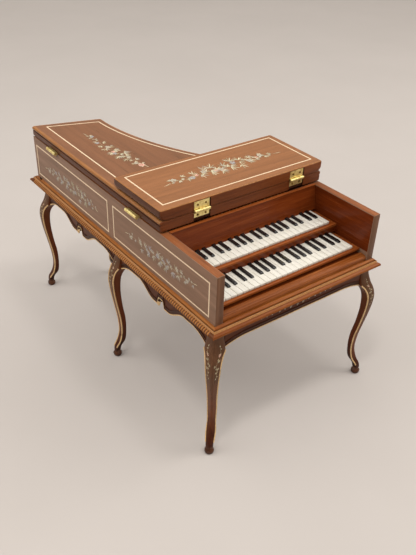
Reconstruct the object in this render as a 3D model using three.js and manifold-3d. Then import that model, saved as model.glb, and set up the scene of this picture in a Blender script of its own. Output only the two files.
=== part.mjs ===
// Miniature two-manual harpsichord on a cabriole-leg stand, at 1:12 dolls' house scale.
// Units are millimetres, +Z up. The keyboard end faces -Y, the spine (long straight side) faces -X.
// Everything is laid out from the front left corner of the case, then the whole group is moved
// so that the origin is the middle of the footprint, on the surface that the feet stand on.
import * as THREE from "three";
import { mergeVertices } from "three/addons/utils/BufferGeometryUtils.js";
import Module from "manifold-3d";

const wasm = await Module();
wasm.setup();

// ---- driving dimensions ---------------------------------------------------------------------

const CASE_WIDTH = 78;
const CHEEK_LENGTH = 40;
const TAIL_LEFT_Y = 140.4;
const TAIL_RIGHT_X = 30.6;
const TAIL_RIGHT_Y = 132;
const BENT_PULL_TAIL = [29.4, 106];
const BENT_PULL_CHEEK = [41.7, 65];
const BENT_STEPS = 14;

const WALL = 3.3;
const CASE_BOTTOM = 59.7;
const CASE_TOP = 79.6;
const FIT = 0.05;

const STAND_TOP = CASE_BOTTOM;
const STAND_UNDER = 56.2;
const STAND_INNER = -5;
const LIP = 2.9;

const LID_UNDER = 80.4;
const LID_THICKNESS = 4.2;
const LID_OVERHANG = 0.3;
const LID_FRONT_Y = 33.2;
const FLAP_DEPTH = 32.3;
const FLAP_GAP = 0.2;
const FLAP_UNDER = LID_UNDER + LID_THICKNESS + FLAP_GAP;

const NATURALS = 25;
const NATURAL_PITCH = 2.64;
const KEYS_LEFT = (CASE_WIDTH - NATURALS * NATURAL_PITCH) / 2;
const KEY_THICKNESS = 1;
const KEY_GROOVE = 0.16;
const SHARP_WIDTH = 1.5;
const SHARP_HEIGHT = 0.65;
const LOWER_BED_TOP = 63.5;
const UPPER_BED_TOP = 68.1;
const BED_THICKNESS = 0.8;
const FASCIA_Y = 18;
const NAMEBOARD_FOOT_Y = 30.3;
const NAMEBOARD_HEAD_Y = 32.2;

// ---- materials ------------------------------------------------------------------------------

const finish = (color, roughness, metalness = 0) => () =>
  new THREE.MeshStandardMaterial({ color, roughness, metalness });

const topWood = finish(0xa56c4a, 0.35);
const sideWood = finish(0x876a5e, 0.35);
const innerWood = finish(0x5a2a12, 0.4);
const mouldingWood = finish(0x8a4a1e, 0.35);
const legWood = finish(0x5c3a26, 0.4);
const spruce = finish(0xc9a064, 0.5);
const ivory = finish(0xe8e4da, 0.3);
const ebony = finish(0x0c0b0b, 0.3);
const brass = finish(0xc9a552, 0.25, 1);

// ---- geometry helpers -----------------------------------------------------------------------

const instrument = new THREE.Group();

function add(name, geometry, material) {
  const mesh = new THREE.Mesh(geometry, material());
  mesh.name = name;
  instrument.add(mesh);
}

function box(x0, x1, y0, y1, z0, z1) {
  const geometry = new THREE.BoxGeometry(x1 - x0, y1 - y0, z1 - z0);
  return geometry.translate((x0 + x1) / 2, (y0 + y1) / 2, (z0 + z1) / 2);
}

// A flat outline in plan, raised from z0 to z1.
function plate(points, z0, z1) {
  const shape = new THREE.Shape(points.map(([x, y]) => new THREE.Vector2(x, y)));
  const geometry = new THREE.ExtrudeGeometry(shape, { depth: z1 - z0, bevelEnabled: false });
  return geometry.translate(0, 0, z0);
}

// An outline drawn in the (y, z) side view, running from x0 to x1.
function bar(points, x0, x1) {
  const shape = new THREE.Shape(points.map(([y, z]) => new THREE.Vector2(y, z)));
  const geometry = new THREE.ExtrudeGeometry(shape, { depth: x1 - x0, bevelEnabled: false });
  const turn = new THREE.Matrix4().makeBasis(
    new THREE.Vector3(0, 1, 0),
    new THREE.Vector3(0, 0, 1),
    new THREE.Vector3(1, 0, 0),
  );
  return geometry.applyMatrix4(turn).translate(x0, 0, 0);
}

// A cylinder of the given radius along X or Y, centred on the other two coordinates.
function rod(axis, from, to, centre, z, radius, sides = 20) {
  const geometry = new THREE.CylinderGeometry(radius, radius, to - from, sides);
  const middle = (from + to) / 2;
  if (axis === "x") {
    return geometry.rotateZ(Math.PI / 2).translate(middle, centre, z);
  }
  return geometry.translate(centre, middle, z);
}

// A closed skin through rings of the same number of points, with both ends filled.
function loft(rings) {
  const count = rings[0].length;
  const normal = new THREE.Vector3();
  for (let i = 0; i < count; i += 1) {
    const here = rings[0][i];
    const next = rings[0][(i + 1) % count];
    normal.x += (here.y - next.y) * (here.z + next.z);
    normal.y += (here.z - next.z) * (here.x + next.x);
    normal.z += (here.x - next.x) * (here.y + next.y);
  }
  const turn = new THREE.Quaternion().setFromUnitVectors(
    normal.normalize(),
    new THREE.Vector3(0, 0, 1),
  );
  const flat = rings[0].map((point) => point.clone().applyQuaternion(turn));
  const cap = THREE.ShapeUtils.triangulateShape(flat.map((p) => new THREE.Vector2(p.x, p.y)), []);
  const last = (rings.length - 1) * count;
  const index = [];
  for (const [a, b, c] of cap) {
    index.push(c, b, a);
    index.push(last + a, last + b, last + c);
  }
  for (let r = 0; r < rings.length - 1; r += 1) {
    for (let i = 0; i < count; i += 1) {
      const a = r * count + i;
      const b = r * count + ((i + 1) % count);
      index.push(a, b, b + count);
      index.push(a, b + count, a + count);
    }
  }
  const points = rings.flat();
  const along = rings[1][0].clone().sub(rings[0][0]);
  if (along.dot(normal) < 0) {
    for (let i = 0; i < index.length; i += 3) {
      [index[i], index[i + 1]] = [index[i + 1], index[i]];
    }
  }
  const geometry = new THREE.BufferGeometry();
  geometry.setAttribute(
    "position",
    new THREE.Float32BufferAttribute(points.flatMap((p) => [p.x, p.y, p.z]), 3),
  );
  geometry.setIndex(index);
  return geometry;
}

function toSolid(geometry) {
  const bare = geometry.clone();
  bare.deleteAttribute("normal");
  bare.deleteAttribute("uv");
  const merged = mergeVertices(bare, 1e-4);
  return new wasm.Manifold(new wasm.Mesh({
    numProp: 3,
    vertProperties: new Float32Array(merged.attributes.position.array),
    triVerts: new Uint32Array(merged.index.array),
  }));
}

function toGeometry(solid) {
  const mesh = solid.getMesh();
  const geometry = new THREE.BufferGeometry();
  geometry.setAttribute("position", new THREE.Float32BufferAttribute(mesh.vertProperties, 3));
  geometry.setIndex(Array.from(mesh.triVerts));
  return geometry;
}

const joined = (...shapes) => toGeometry(shapes.map(toSolid).reduce((a, b) => a.add(b)));

function cut(shape, ...tools) {
  return toGeometry(tools.map(toSolid).reduce((a, b) => a.subtract(b), toSolid(shape)));
}

// ---- plan outline ---------------------------------------------------------------------------

const FRONT_LEFT = [0, 0];
const FRONT_RIGHT = [CASE_WIDTH, 0];
const CHEEK_END = [CASE_WIDTH, CHEEK_LENGTH];
const TAIL_RIGHT = [TAIL_RIGHT_X, TAIL_RIGHT_Y];
const TAIL_LEFT = [0, TAIL_LEFT_Y];

// The bentside, from the end of the cheek to the tail, both end points left out.
function bentside() {
  const curve = new THREE.CubicBezierCurve(
    new THREE.Vector2(...CHEEK_END),
    new THREE.Vector2(...BENT_PULL_CHEEK),
    new THREE.Vector2(...BENT_PULL_TAIL),
    new THREE.Vector2(...TAIL_RIGHT),
  );
  return curve.getPoints(BENT_STEPS).slice(1, -1).map((p) => [p.x, p.y]);
}

const OUTLINE = [FRONT_LEFT, FRONT_RIGHT, CHEEK_END, ...bentside(), TAIL_RIGHT, TAIL_LEFT];
const CORNER = { frontLeft: 0, frontRight: 1, cheekEnd: 2, tailRight: BENT_STEPS + 2 };
CORNER.tailLeft = CORNER.tailRight + 1;

// Moves each edge of a closed outline outward by its own distance and finds the new corners.
function offsetLoop(points, distances) {
  const lines = points.map(([x, y], i) => {
    const [nx, ny] = points[(i + 1) % points.length];
    const length = Math.hypot(nx - x, ny - y);
    const normal = [(ny - y) / length, (x - nx) / length];
    const reach = x * normal[0] + y * normal[1] + distances[i];
    return { normal, reach };
  });
  return lines.map((line, i) => {
    const before = lines[(i + lines.length - 1) % lines.length];
    const [a, b] = before.normal;
    const [c, d] = line.normal;
    const det = a * d - b * c;
    return [(before.reach * d - b * line.reach) / det, (a * line.reach - before.reach * c) / det];
  });
}

const offsetAll = (points, distance) => offsetLoop(points, points.map(() => distance));

// Runs a section of (offset, z) points along the outline from one corner to the next.
function alongOutline(section, first, last, outline = OUTLINE) {
  const loops = section.map(([offset]) => offsetAll(outline, offset));
  const rings = [];
  for (let i = first; i <= last; i += 1) {
    const k = i % outline.length;
    rings.push(section.map(([, z], s) => new THREE.Vector3(loops[s][k][0], loops[s][k][1], z)));
  }
  shorten(rings[0], rings[1]);
  shorten(rings[rings.length - 1], rings[rings.length - 2]);
  return loft(rings);
}

// Draws one end of a run back along its length, to leave half of a fitted joint.
function shorten(end, inside) {
  for (let i = 0; i < end.length; i += 1) {
    const step = inside[i].clone().sub(end[i]).normalize().multiplyScalar(FIT / 2);
    end[i].add(step);
  }
}

const between = (from, to) => (x) => Math.min(Math.max((x - from) / (to - from), 0), 1);

// ---- stand: moulded frame -------------------------------------------------------------------

const FRAME_SECTION = [
  [STAND_INNER, STAND_UNDER],
  [0.4, STAND_UNDER],
  [1.9, STAND_UNDER + 0.15],
  [2.7, STAND_UNDER + 0.45],
  [LIP, STAND_UNDER + 0.95],
  [2.75, STAND_UNDER + 1.3],
  [2.1, STAND_UNDER + 1.55],
  [1.95, STAND_UNDER + 1.95],
  [1.5, STAND_UNDER + 2.25],
  [1.1, STAND_UNDER + 2.3],
  [0.5, STAND_UNDER + 2.75],
  [0.1, STAND_TOP - FIT],
  [STAND_INNER, STAND_TOP - FIT],
];

function makeFrame() {
  const sides = [
    ["stand_frame_front", CORNER.frontLeft, CORNER.frontRight],
    ["stand_frame_cheek", CORNER.frontRight, CORNER.cheekEnd],
    ["stand_frame_bentside", CORNER.cheekEnd, CORNER.tailRight],
    ["stand_frame_tail", CORNER.tailRight, CORNER.tailLeft],
    ["stand_frame_spine", CORNER.tailLeft, OUTLINE.length],
  ];
  for (const [name, first, last] of sides) {
    add(name, alongOutline(FRAME_SECTION, first, last), mouldingWood);
  }
}

// ---- stand: cabriole legs -------------------------------------------------------------------

// Height, and how far the outer and inner faces stand out from the leg's own corner.
const LEG_CURVE = [
  [3.4, 2.75, 0.15],
  [5.5, 2.3, -0.2],
  [9, 1, -1.85],
  [14, 0.1, -2.35],
  [20.5, 0.4, -2.3],
  [27.5, 1.4, -1.45],
  [34.5, 2.45, -0.95],
  [40.5, 3, -1.1],
  [44, 2.75, -1.75],
  [46.6, 2.1, -3.1],
  [48.1, 1.55, -4.45],
  [49.2, 1.15, -4.7],
  [52.5, 0.25, -4.7],
  [56.15, 0, -4.7],
];
const LEG_RINGS = 28;
const LEG_ROUNDING = 0.12;
const FOOT_CENTRE = 1.5;
const FOOT_RADIUS = 1.85;
const FOOT_PROFILE = [
  [0, FOOT_RADIUS - 0.45],
  [0.5, FOOT_RADIUS],
  [1.8, FOOT_RADIUS],
  [2.5, FOOT_RADIUS - 0.35],
];
const SECTION_POINTS = 8;

// A ring that is a circle at rounding 1 and a square at rounding 0.
function legRing(corner, outward, middle, half, rounding, z) {
  const ring = [];
  for (let k = 0; k < SECTION_POINTS; k += 1) {
    const angle = (k * 2 * Math.PI) / SECTION_POINTS;
    const c = Math.cos(angle);
    const s = Math.sin(angle);
    const square = 1 / Math.max(Math.abs(c), Math.abs(s));
    const reach = half * (rounding + (1 - rounding) * square);
    const x = corner[0] + outward[0] * middle + c * reach;
    const y = corner[1] + outward[1] * middle + s * reach;
    ring.push(new THREE.Vector3(x, y, z));
  }
  return ring;
}

function leg(corner, outward) {
  const rings = FOOT_PROFILE.map(([z, r]) => legRing(corner, outward, FOOT_CENTRE, r, 1, z));
  const outer = new THREE.SplineCurve(LEG_CURVE.map(([z, out]) => new THREE.Vector2(z, out)));
  const inner = new THREE.SplineCurve(LEG_CURVE.map(([z, , into]) => new THREE.Vector2(z, into)));
  for (let i = 0; i <= LEG_RINGS; i += 1) {
    const out = outer.getPoint(i / LEG_RINGS);
    const into = inner.getPoint(i / LEG_RINGS);
    const middle = (out.y + into.y) / 2;
    const half = (out.y - into.y) / 2;
    rings.push(legRing(corner, outward, middle, half, LEG_ROUNDING, out.x));
  }
  return loft(rings);
}

const LEG_BLOCK = 4.7;
const LEGS = {
  front_left: { corner: [0, 0], outward: [-1, -1] },
  front_right: { corner: [CASE_WIDTH, 0], outward: [1, -1] },
  spine_mid: { corner: [0, 67.6], outward: [-1, 0.5] },
  bentside_mid: { corner: [50, 65.4], outward: [0.9, 0.45] },
  tail_left: { corner: [0, 134.8], outward: [-1, 1] },
  tail_right: { corner: [30.2, 126.8], outward: [1, 1] },
};

function makeLegs() {
  for (const [place, { corner, outward }] of Object.entries(LEGS)) {
    add(`leg_${place}`, leg(corner, outward), legWood);
  }
}

// ---- stand: scalloped aprons ----------------------------------------------------------------

const APRON_TOP = STAND_UNDER - FIT;
const APRON_THICKNESS = 2.2;
const APRON_INSET = 0.3;
const APRON_GAP = 0.15;
const SPINE_MID_Y = 66.75;
const MID_LEG_CLEAR = 3.15;
const ARCH_Z = 51.3;
const EAR_Z = 48.2;
const LOBE_Z = 47.1;
const NOTCH_Z = 50.6;
const LOBE_REACH = 15.5;
const SHALLOW_Z = 49.9;
const SHALLOW_EAR = 10;
const BENT_FRONT = [0, 0.315];
const BENT_REAR = [0.405, 0.9];

// Height of the scalloped lower edge at a distance from the middle of a long apron.
function scallop(fromMiddle, halfLength) {
  const t = Math.abs(fromMiddle);
  const ear = between(halfLength - 9, halfLength)(t);
  const lobe = 0.5 + 0.5 * Math.cos(Math.PI * between(5, LOBE_REACH)(t));
  const notch = 1 - between(1.1, 2.6)(t);
  const edge = ARCH_Z - (ARCH_Z - LOBE_Z) * lobe - (ARCH_Z - EAR_Z) * ear * ear;
  return edge + (NOTCH_Z - LOBE_Z) * notch;
}

// The plainer apron: one shallow arch between two ears.
function shallow(fromMiddle, halfLength) {
  const ear = between(halfLength - SHALLOW_EAR, halfLength)(Math.abs(fromMiddle));
  return SHALLOW_Z - (SHALLOW_Z - EAR_Z) * ear * ear;
}

// The same with one ear only, where the other end meets the next apron and not a leg.
const earAtStart = (fromMiddle, halfLength) => shallow(Math.min(fromMiddle, 0), halfLength);
const earAtEnd = (fromMiddle, halfLength) => shallow(Math.max(fromMiddle, 0), halfLength);

// An apron of the given lower edge, standing on a straight line in plan.
function apron(start, end, edge) {
  const [x0, y0] = start;
  const length = Math.hypot(end[0] - x0, end[1] - y0);
  const half = length / 2;
  const steps = Math.round(length / 1.1);
  const points = [[0, APRON_TOP], [length, APRON_TOP]];
  for (let i = steps; i >= 0; i -= 1) {
    const along = (i * length) / steps;
    points.push([along, edge(along - half, half)]);
  }
  const shape = new THREE.Shape(points.map(([a, z]) => new THREE.Vector2(a, z)));
  const geometry = new THREE.ExtrudeGeometry(shape, {
    depth: APRON_THICKNESS,
    bevelEnabled: false,
  });
  const along = new THREE.Vector3((end[0] - x0) / length, (end[1] - y0) / length, 0);
  const up = new THREE.Vector3(0, 0, 1);
  const frame = new THREE.Matrix4().makeBasis(along, up, along.clone().cross(up));
  return geometry.applyMatrix4(frame).translate(x0, y0, 0);
}

// Moves two faces, with these outward normals, outward by 1 where they meet.
function mitre(a, b) {
  return a.clone().add(b).divideScalar(1 + a.dot(b));
}

// An apron under a run of the case's outline, from points that each carry their outward direction.
function outlineApron(run, length, edge) {
  const section = (lower) => [
    [APRON_INSET, lower],
    [APRON_INSET, APRON_TOP],
    [APRON_INSET + APRON_THICKNESS, APRON_TOP],
    [APRON_INSET + APRON_THICKNESS, lower],
  ];
  return loft(run.map(({ point, out }, i) => {
    const lower = edge((i / (run.length - 1) - 0.5) * length, length / 2);
    return section(lower).map(([inset, z]) => new THREE.Vector3(
      point.x - out.x * inset,
      point.y - out.y * inset,
      z,
    ));
  }));
}

const CHEEK_OUT = new THREE.Vector2(1, 0);

// The apron along the cheek, from the front leg's block to the corner with the bentside.
function cheekApron(from, cornerOut) {
  const length = CHEEK_LENGTH - FIT - from;
  const steps = Math.round(length / 1.5);
  const run = Array.from({ length: steps + 1 }, (_, i) => ({
    point: new THREE.Vector2(CASE_WIDTH, from + (length * i) / steps),
    out: i < steps ? CHEEK_OUT : cornerOut,
  }));
  return outlineApron(run, length, earAtStart);
}

// An apron that follows the bentside, between two shares of its length.
function bentApron(face, [from, to], edge, cornerOut) {
  const length = face.getLength() * (to - from);
  const steps = Math.round(length / 1.8);
  const run = Array.from({ length: steps + 1 }, (_, i) => {
    const share = from + ((to - from) * i) / steps;
    const out = share > 0 ? bentOut(face, share) : cornerOut;
    return { point: face.getPointAt(share), out };
  });
  return outlineApron(run, length, edge);
}

function bentOut(face, share) {
  const tangent = face.getTangentAt(share);
  return new THREE.Vector2(tangent.y, -tangent.x);
}

function makeAprons() {
  const clear = LEG_BLOCK + APRON_GAP;
  const inner = APRON_INSET + APRON_THICKNESS;
  const rear = LEGS.tail_left.corner[1];
  const bays = [
    ["apron_front", [clear, inner], [CASE_WIDTH - clear, inner], shallow],
    ["apron_spine_rear", [inner, rear - clear], [inner, SPINE_MID_Y + MID_LEG_CLEAR], scallop],
    ["apron_spine_front", [inner, SPINE_MID_Y - MID_LEG_CLEAR], [inner, clear], scallop],
  ];
  for (const [name, start, end, edge] of bays) {
    add(name, apron(start, end, edge), legWood);
  }
  const [tailX, tailY] = LEGS.tail_right.corner;
  const slope = (rear - tailY) / tailX;
  const tailStart = [tailX - clear - 0.3, tailY + slope * clear - inner];
  const tailEnd = [clear, rear - slope * clear - inner];
  add("apron_tail", apron(tailStart, tailEnd, shallow), legWood);
  const face = new THREE.CubicBezierCurve(
    new THREE.Vector2(...CHEEK_END),
    new THREE.Vector2(...BENT_PULL_CHEEK),
    new THREE.Vector2(...BENT_PULL_TAIL),
    new THREE.Vector2(...TAIL_RIGHT),
  );
  const cornerOut = mitre(CHEEK_OUT, bentOut(face, 0));
  add("apron_cheek", cheekApron(clear, cornerOut), legWood);
  add("apron_bentside_front", bentApron(face, BENT_FRONT, earAtEnd, cornerOut), legWood);
  add("apron_bentside_rear", bentApron(face, BENT_REAR, shallow), legWood);
}

// ---- case -----------------------------------------------------------------------------------

function makeCase() {
  const wall = [
    [-WALL, CASE_BOTTOM],
    [0, CASE_BOTTOM],
    [0, CASE_TOP],
    [-WALL, CASE_TOP],
  ];
  const back = TAIL_LEFT_Y;
  const slope = (TAIL_LEFT_Y - TAIL_RIGHT_Y) / TAIL_RIGHT_X;
  const spine = [[0, 0], [WALL, 0], [WALL, back - slope * WALL - FIT], [0, back - FIT]];
  add("case_spine", plate(spine, CASE_BOTTOM, CASE_TOP), sideWood);
  const cheekInner = offsetAll(OUTLINE, -WALL)[CORNER.cheekEnd];
  const cheek = [
    [CASE_WIDTH - WALL, 0],
    [CASE_WIDTH, 0],
    [CASE_WIDTH, CHEEK_LENGTH - FIT],
    [cheekInner[0], cheekInner[1] - FIT],
  ];
  add("case_cheek", plate(cheek, CASE_BOTTOM, CASE_TOP), sideWood);
  add("case_bentside", alongOutline(wall, CORNER.cheekEnd, CORNER.tailRight), sideWood);
  add("case_tail", makeTail(slope), sideWood);
  add("case_bottom", plate(insideBand(0.1, 3.4, TAIL_LEFT_Y), CASE_BOTTOM, CASE_BOTTOM + 1.5), innerWood);
}

// The tail board fills the space between the spine and the end of the bentside.
function makeTail(slope) {
  const [innerX, innerY] = offsetAll(OUTLINE, -WALL)[CORNER.tailRight];
  const left = WALL + FIT;
  const across = 1 + slope * slope;
  const innerDrop = WALL * Math.sqrt(across);
  const tail = [
    [left, TAIL_LEFT_Y - slope * left - innerDrop],
    [innerX - FIT, innerY],
    [TAIL_RIGHT_X - FIT, TAIL_RIGHT_Y],
    [left, TAIL_LEFT_Y - slope * left],
  ];
  return plate(tail, CASE_BOTTOM, CASE_TOP);
}

// The inside of the case in plan, between two cross lines.
function insideBand(clearance, y0, y1) {
  const left = WALL + clearance;
  const inside = offsetAll(OUTLINE, -WALL - clearance).slice(CORNER.cheekEnd);
  const right = CASE_WIDTH - WALL - clearance;
  const loop = [[left, 0], [right, 0], ...inside];
  return clipAcross(clipAcross(loop, y0, 1), y1, -1);
}

// Keeps the part of a closed loop on one side of the line at y.
function clipAcross(points, y, side) {
  const kept = [];
  points.forEach((a, i) => {
    const b = points[(i + 1) % points.length];
    const depthA = side * (a[1] - y);
    const depthB = side * (b[1] - y);
    if (depthA >= 0) {
      kept.push(a);
    }
    if (depthA * depthB < 0) {
      const share = depthA / (depthA - depthB);
      kept.push([a[0] + share * (b[0] - a[0]), y]);
    }
  });
  return kept;
}

// ---- keyboards ------------------------------------------------------------------------------

// Sharps by the natural on their left, counted from the bottom E, and how far each stands off
// the line between its two naturals.
const OCTAVE_SHARPS = [[1, -0.5], [2, 0], [3, 0.45], [5, -0.35], [6, 0.2]];

function sharpCentres() {
  const centres = [];
  for (let octave = 0; octave < 4; octave += 1) {
    for (const [step, shift] of OCTAVE_SHARPS) {
      const line = octave * 7 + step + 1;
      if (line < NATURALS) {
        centres.push(KEYS_LEFT + line * NATURAL_PITCH + shift);
      }
    }
  }
  return centres;
}

// All the naturals of one manual as a grooved strip.
function naturals(front, back, bottom) {
  const top = bottom + KEY_THICKNESS;
  const right = KEYS_LEFT + NATURALS * NATURAL_PITCH;
  const points = [[KEYS_LEFT, bottom], [right, bottom], [right, top]];
  for (let k = NATURALS - 1; k > 0; k -= 1) {
    const x = KEYS_LEFT + k * NATURAL_PITCH;
    points.push([x + KEY_GROOVE / 2, top]);
    points.push([x, top - 2 * KEY_GROOVE]);
    points.push([x - KEY_GROOVE / 2, top]);
  }
  points.push([KEYS_LEFT, top]);
  const shape = new THREE.Shape(points.map(([x, z]) => new THREE.Vector2(x, z)));
  const geometry = new THREE.ExtrudeGeometry(shape, { depth: back - front, bevelEnabled: false });
  return geometry.rotateX(Math.PI / 2).translate(0, back, 0);
}

// The sharps of one manual, standing on a rail hidden behind them.
function sharps(front, back, bottom) {
  const top = bottom + SHARP_HEIGHT;
  const railFront = back - 1.2;
  const rail = box(KEYS_LEFT + 1, CASE_WIDTH - KEYS_LEFT - 1, railFront, back, bottom, top);
  const side = [[front, bottom], [front + 0.3, top], [railFront + 0.2, top], [railFront + 0.2, bottom]];
  const bars = sharpCentres().map((x) => bar(side, x - SHARP_WIDTH / 2, x + SHARP_WIDTH / 2));
  return joined(rail, ...bars);
}

// Cuts a slot for each sharp, and for their rail, out of the board above a manual.
function slotted(board, front, back, bottom) {
  const clear = 0.15;
  const top = bottom + SHARP_HEIGHT + clear;
  const half = SHARP_WIDTH / 2 + clear;
  const slots = sharpCentres().map((x) => box(x - half, x + half, front, back, bottom - 1, top));
  return cut(board, ...slots);
}

function makeKeyboards() {
  const left = WALL + FIT;
  const right = CASE_WIDTH - WALL - FIT;
  const rise = 0.05;

  const sill = [[0.4, 59.8], [3.3, 59.8], [3.3, 61.9], [1.6, 61.8], [0.9, 61.5], [0.4, 60.9]];
  add("front_sill", bar(sill, left, right), mouldingWood);

  const frameFloor = CASE_BOTTOM + 1.5 + FIT;
  const lowerUnder = LOWER_BED_TOP - BED_THICKNESS;
  add("key_frame", box(6, 72, 5.8, 31, frameFloor, lowerUnder - FIT), innerWood);
  add("lower_key_bed", box(left, right, 4.2, 31, lowerUnder, LOWER_BED_TOP), mouldingWood);

  const lowerKeys = LOWER_BED_TOP + rise;
  const lowerSharps = lowerKeys + KEY_THICKNESS + rise;
  add("lower_naturals", naturals(5.6, 20.5, lowerKeys), ivory);
  add("lower_sharps", sharps(10.3, 20.5, lowerSharps), ebony);

  const upperUnder = UPPER_BED_TOP - BED_THICKNESS;
  const fascia = box(left, right, FASCIA_Y, FASCIA_Y + 1.2, lowerSharps, upperUnder - FIT);
  const lowerSlots = slotted(fascia, FASCIA_Y - 1, FASCIA_Y + 2, lowerSharps);
  add("upper_manual_fascia", lowerSlots, innerWood);
  add("upper_key_bed", box(left, right, FASCIA_Y - 0.2, 33, upperUnder, UPPER_BED_TOP), mouldingWood);

  const upperKeys = UPPER_BED_TOP + rise;
  const upperSharps = upperKeys + KEY_THICKNESS + rise;
  add("upper_naturals", naturals(19.4, 33, upperKeys), ivory);
  add("upper_sharps", sharps(24.1, 33, upperSharps), ebony);

  const nameboard = [
    [NAMEBOARD_FOOT_Y, upperSharps],
    [NAMEBOARD_FOOT_Y + 1.2, upperSharps],
    [NAMEBOARD_HEAD_Y + 1.2, CASE_TOP],
    [NAMEBOARD_HEAD_Y, CASE_TOP],
  ];
  const upperSlots = slotted(bar(nameboard, left, right), NAMEBOARD_FOOT_Y - 1, 34, upperSharps);
  add("nameboard", upperSlots, innerWood);
}

// ---- inside the case ------------------------------------------------------------------------

const BELLY_Y = 52;
const SOUNDBOARD_Z = 71;
const SOUNDBOARD_THICKNESS = 0.9;
const PLANK_TOP = 73;
const STRING_PLANE = 75.2;
const PIN_ROWS = 2;
const PINS_PER_ROW = 17;

// The wrestplank with its tuning pins driven in, the nut, the jack rail, and what carries the
// strings behind them: the belly rail, the soundboard and its bridge.
function makeInside() {
  const plank = plate(insideBand(0.1, 34, 44), 68.6, PLANK_TOP);
  const pins = [];
  for (let row = 0; row < PIN_ROWS; row += 1) {
    for (let k = 0; k < PINS_PER_ROW; k += 1) {
      const pin = new THREE.CylinderGeometry(0.35, 0.35, 3.4, 8).rotateX(Math.PI / 2);
      pins.push(pin.translate(8 + k * 3.6 + row * 1.8, 36 + row * 2.2, PLANK_TOP + 1.2));
    }
  }
  add("wrestplank", joined(plank, ...pins), innerWood);
  add("nut", box(7, 66, 41, 42.2, PLANK_TOP + FIT, STRING_PLANE), innerWood);
  add("jack_rail", plate(insideBand(0.1, 46, 49.2), 76.2, 78.4), topWood);
  const rail = insideBand(0.1, BELLY_Y, BELLY_Y + 2);
  add("belly_rail", plate(rail, CASE_BOTTOM + 1.6, SOUNDBOARD_Z - FIT), innerWood);
  const boardTop = SOUNDBOARD_Z + SOUNDBOARD_THICKNESS;
  const board = insideBand(0.1, BELLY_Y, TAIL_LEFT_Y);
  add("soundboard", plate(board, SOUNDBOARD_Z, boardTop), spruce);
  add("bridge", bridge(boardTop + FIT), innerWood);
}

// The bridge, a slim bar that runs in from the bentside and follows it towards the tail.
function bridge(bottom) {
  const curve = new THREE.CubicBezierCurve3(
    new THREE.Vector3(46, 59, 0),
    new THREE.Vector3(33, 72, 0),
    new THREE.Vector3(23, 94, 0),
    new THREE.Vector3(11, 118, 0),
  );
  const rings = curve.getPoints(18).map((point, i) => {
    const tangent = curve.getTangent(i / 18);
    const side = new THREE.Vector3(-tangent.y, tangent.x, 0);
    return [[-0.8, bottom], [0.8, bottom], [0.4, STRING_PLANE], [-0.4, STRING_PLANE]]
      .map(([offset, z]) => point.clone().addScaledVector(side, offset).setZ(z));
  });
  return loft(rings);
}

// ---- lid and keyboard flap ------------------------------------------------------------------

const FRONT_HINGE_WIDTH = 6.8;
const FRONT_HINGE_X = [17.8, 64.3];
const SEAM_Z = LID_UNDER + LID_THICKNESS + FLAP_GAP / 2;
const FLAP_AXIS_Y = LID_FRONT_Y - 0.45;
const LEAF = 0.4;
const MORTISE_DEPTH = 0.75;
const KNUCKLE_RADIUS = 0.6;
const SPINE_HINGE_WIDTH = 8;
const SPINE_HINGE_Y = [51.8, 119.3];
const LID_AXIS_X = -1.1;
const LID_AXIS_Z = (CASE_TOP + LID_UNDER) / 2;
const SPINE_KNUCKLE_RADIUS = 0.72;
const LEAF_REACH = 2.8;

// Turns a loop of [x, y] into a ring at height z.
const ringAt = (loop, z) => loop.map(([x, y]) => new THREE.Vector3(x, y, z));

function makeLid() {
  const inside = OUTLINE.slice(CORNER.cheekEnd);
  const plan = [[0, LID_FRONT_Y], [CASE_WIDTH, LID_FRONT_Y], ...inside];
  const ring = (overhang, z) => {
    const distances = plan.map((point, i) => (i === 0 ? 0 : overhang));
    return ringAt(offsetLoop(plan, distances), z);
  };
  const top = LID_UNDER + LID_THICKNESS;
  const panel = loft([
    ring(LID_OVERHANG, LID_UNDER),
    ring(LID_OVERHANG, top - 0.9),
    ring(LID_OVERHANG - 0.25, top - 0.3),
    ring(LID_OVERHANG - 0.9, top),
  ]);
  const mortises = FRONT_HINGE_X.map((x) => hingeMortise(x, LID_UNDER - 1, top + 1));
  add("lid", cut(panel, ...mortises), topWood);
}

function hingeMortise(x, z0, z1) {
  const half = FRONT_HINGE_WIDTH / 2 + 0.2;
  return box(x - half, x + half, LID_FRONT_Y - 2, LID_FRONT_Y + MORTISE_DEPTH, z0, z1);
}

// The flap lies folded back, face down: its moulded face is the lower one.
function makeFlap() {
  const back = LID_FRONT_Y + FLAP_DEPTH;
  const plan = [[0, LID_FRONT_Y], [CASE_WIDTH, LID_FRONT_Y], [CASE_WIDTH, back], [0, back]];
  const ring = (overhang, z) => {
    const distances = plan.map((point, i) => (i === 0 ? 0 : overhang));
    return ringAt(offsetLoop(plan, distances), z);
  };
  const under = FLAP_UNDER;
  const panel = loft([
    ring(LID_OVERHANG - 2.4, under),
    ring(LID_OVERHANG - 0.9, under + 0.8),
    ring(LID_OVERHANG, under + 1.8),
    ring(LID_OVERHANG, under + LID_THICKNESS),
  ]);
  const mortises = FRONT_HINGE_X.map((x) => hingeMortise(x, under - 1, under + LID_THICKNESS - 0.5));
  add("flap", cut(panel, ...mortises), topWood);
}

// A butt hinge leaf with its knuckles: a flat plate united with lengths of barrel, then bored.
function hingeLeaf(axis, centre, z, radius, plateShape, lengths) {
  const barrel = lengths.map(([from, to]) => rod(axis, from, to, centre, z, radius));
  const bore = rod(axis, lengths[0][0] - 20, lengths[0][0] + 20, centre, z, radius * 0.62, 16);
  return cut(joined(plateShape, ...barrel), bore);
}

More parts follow.
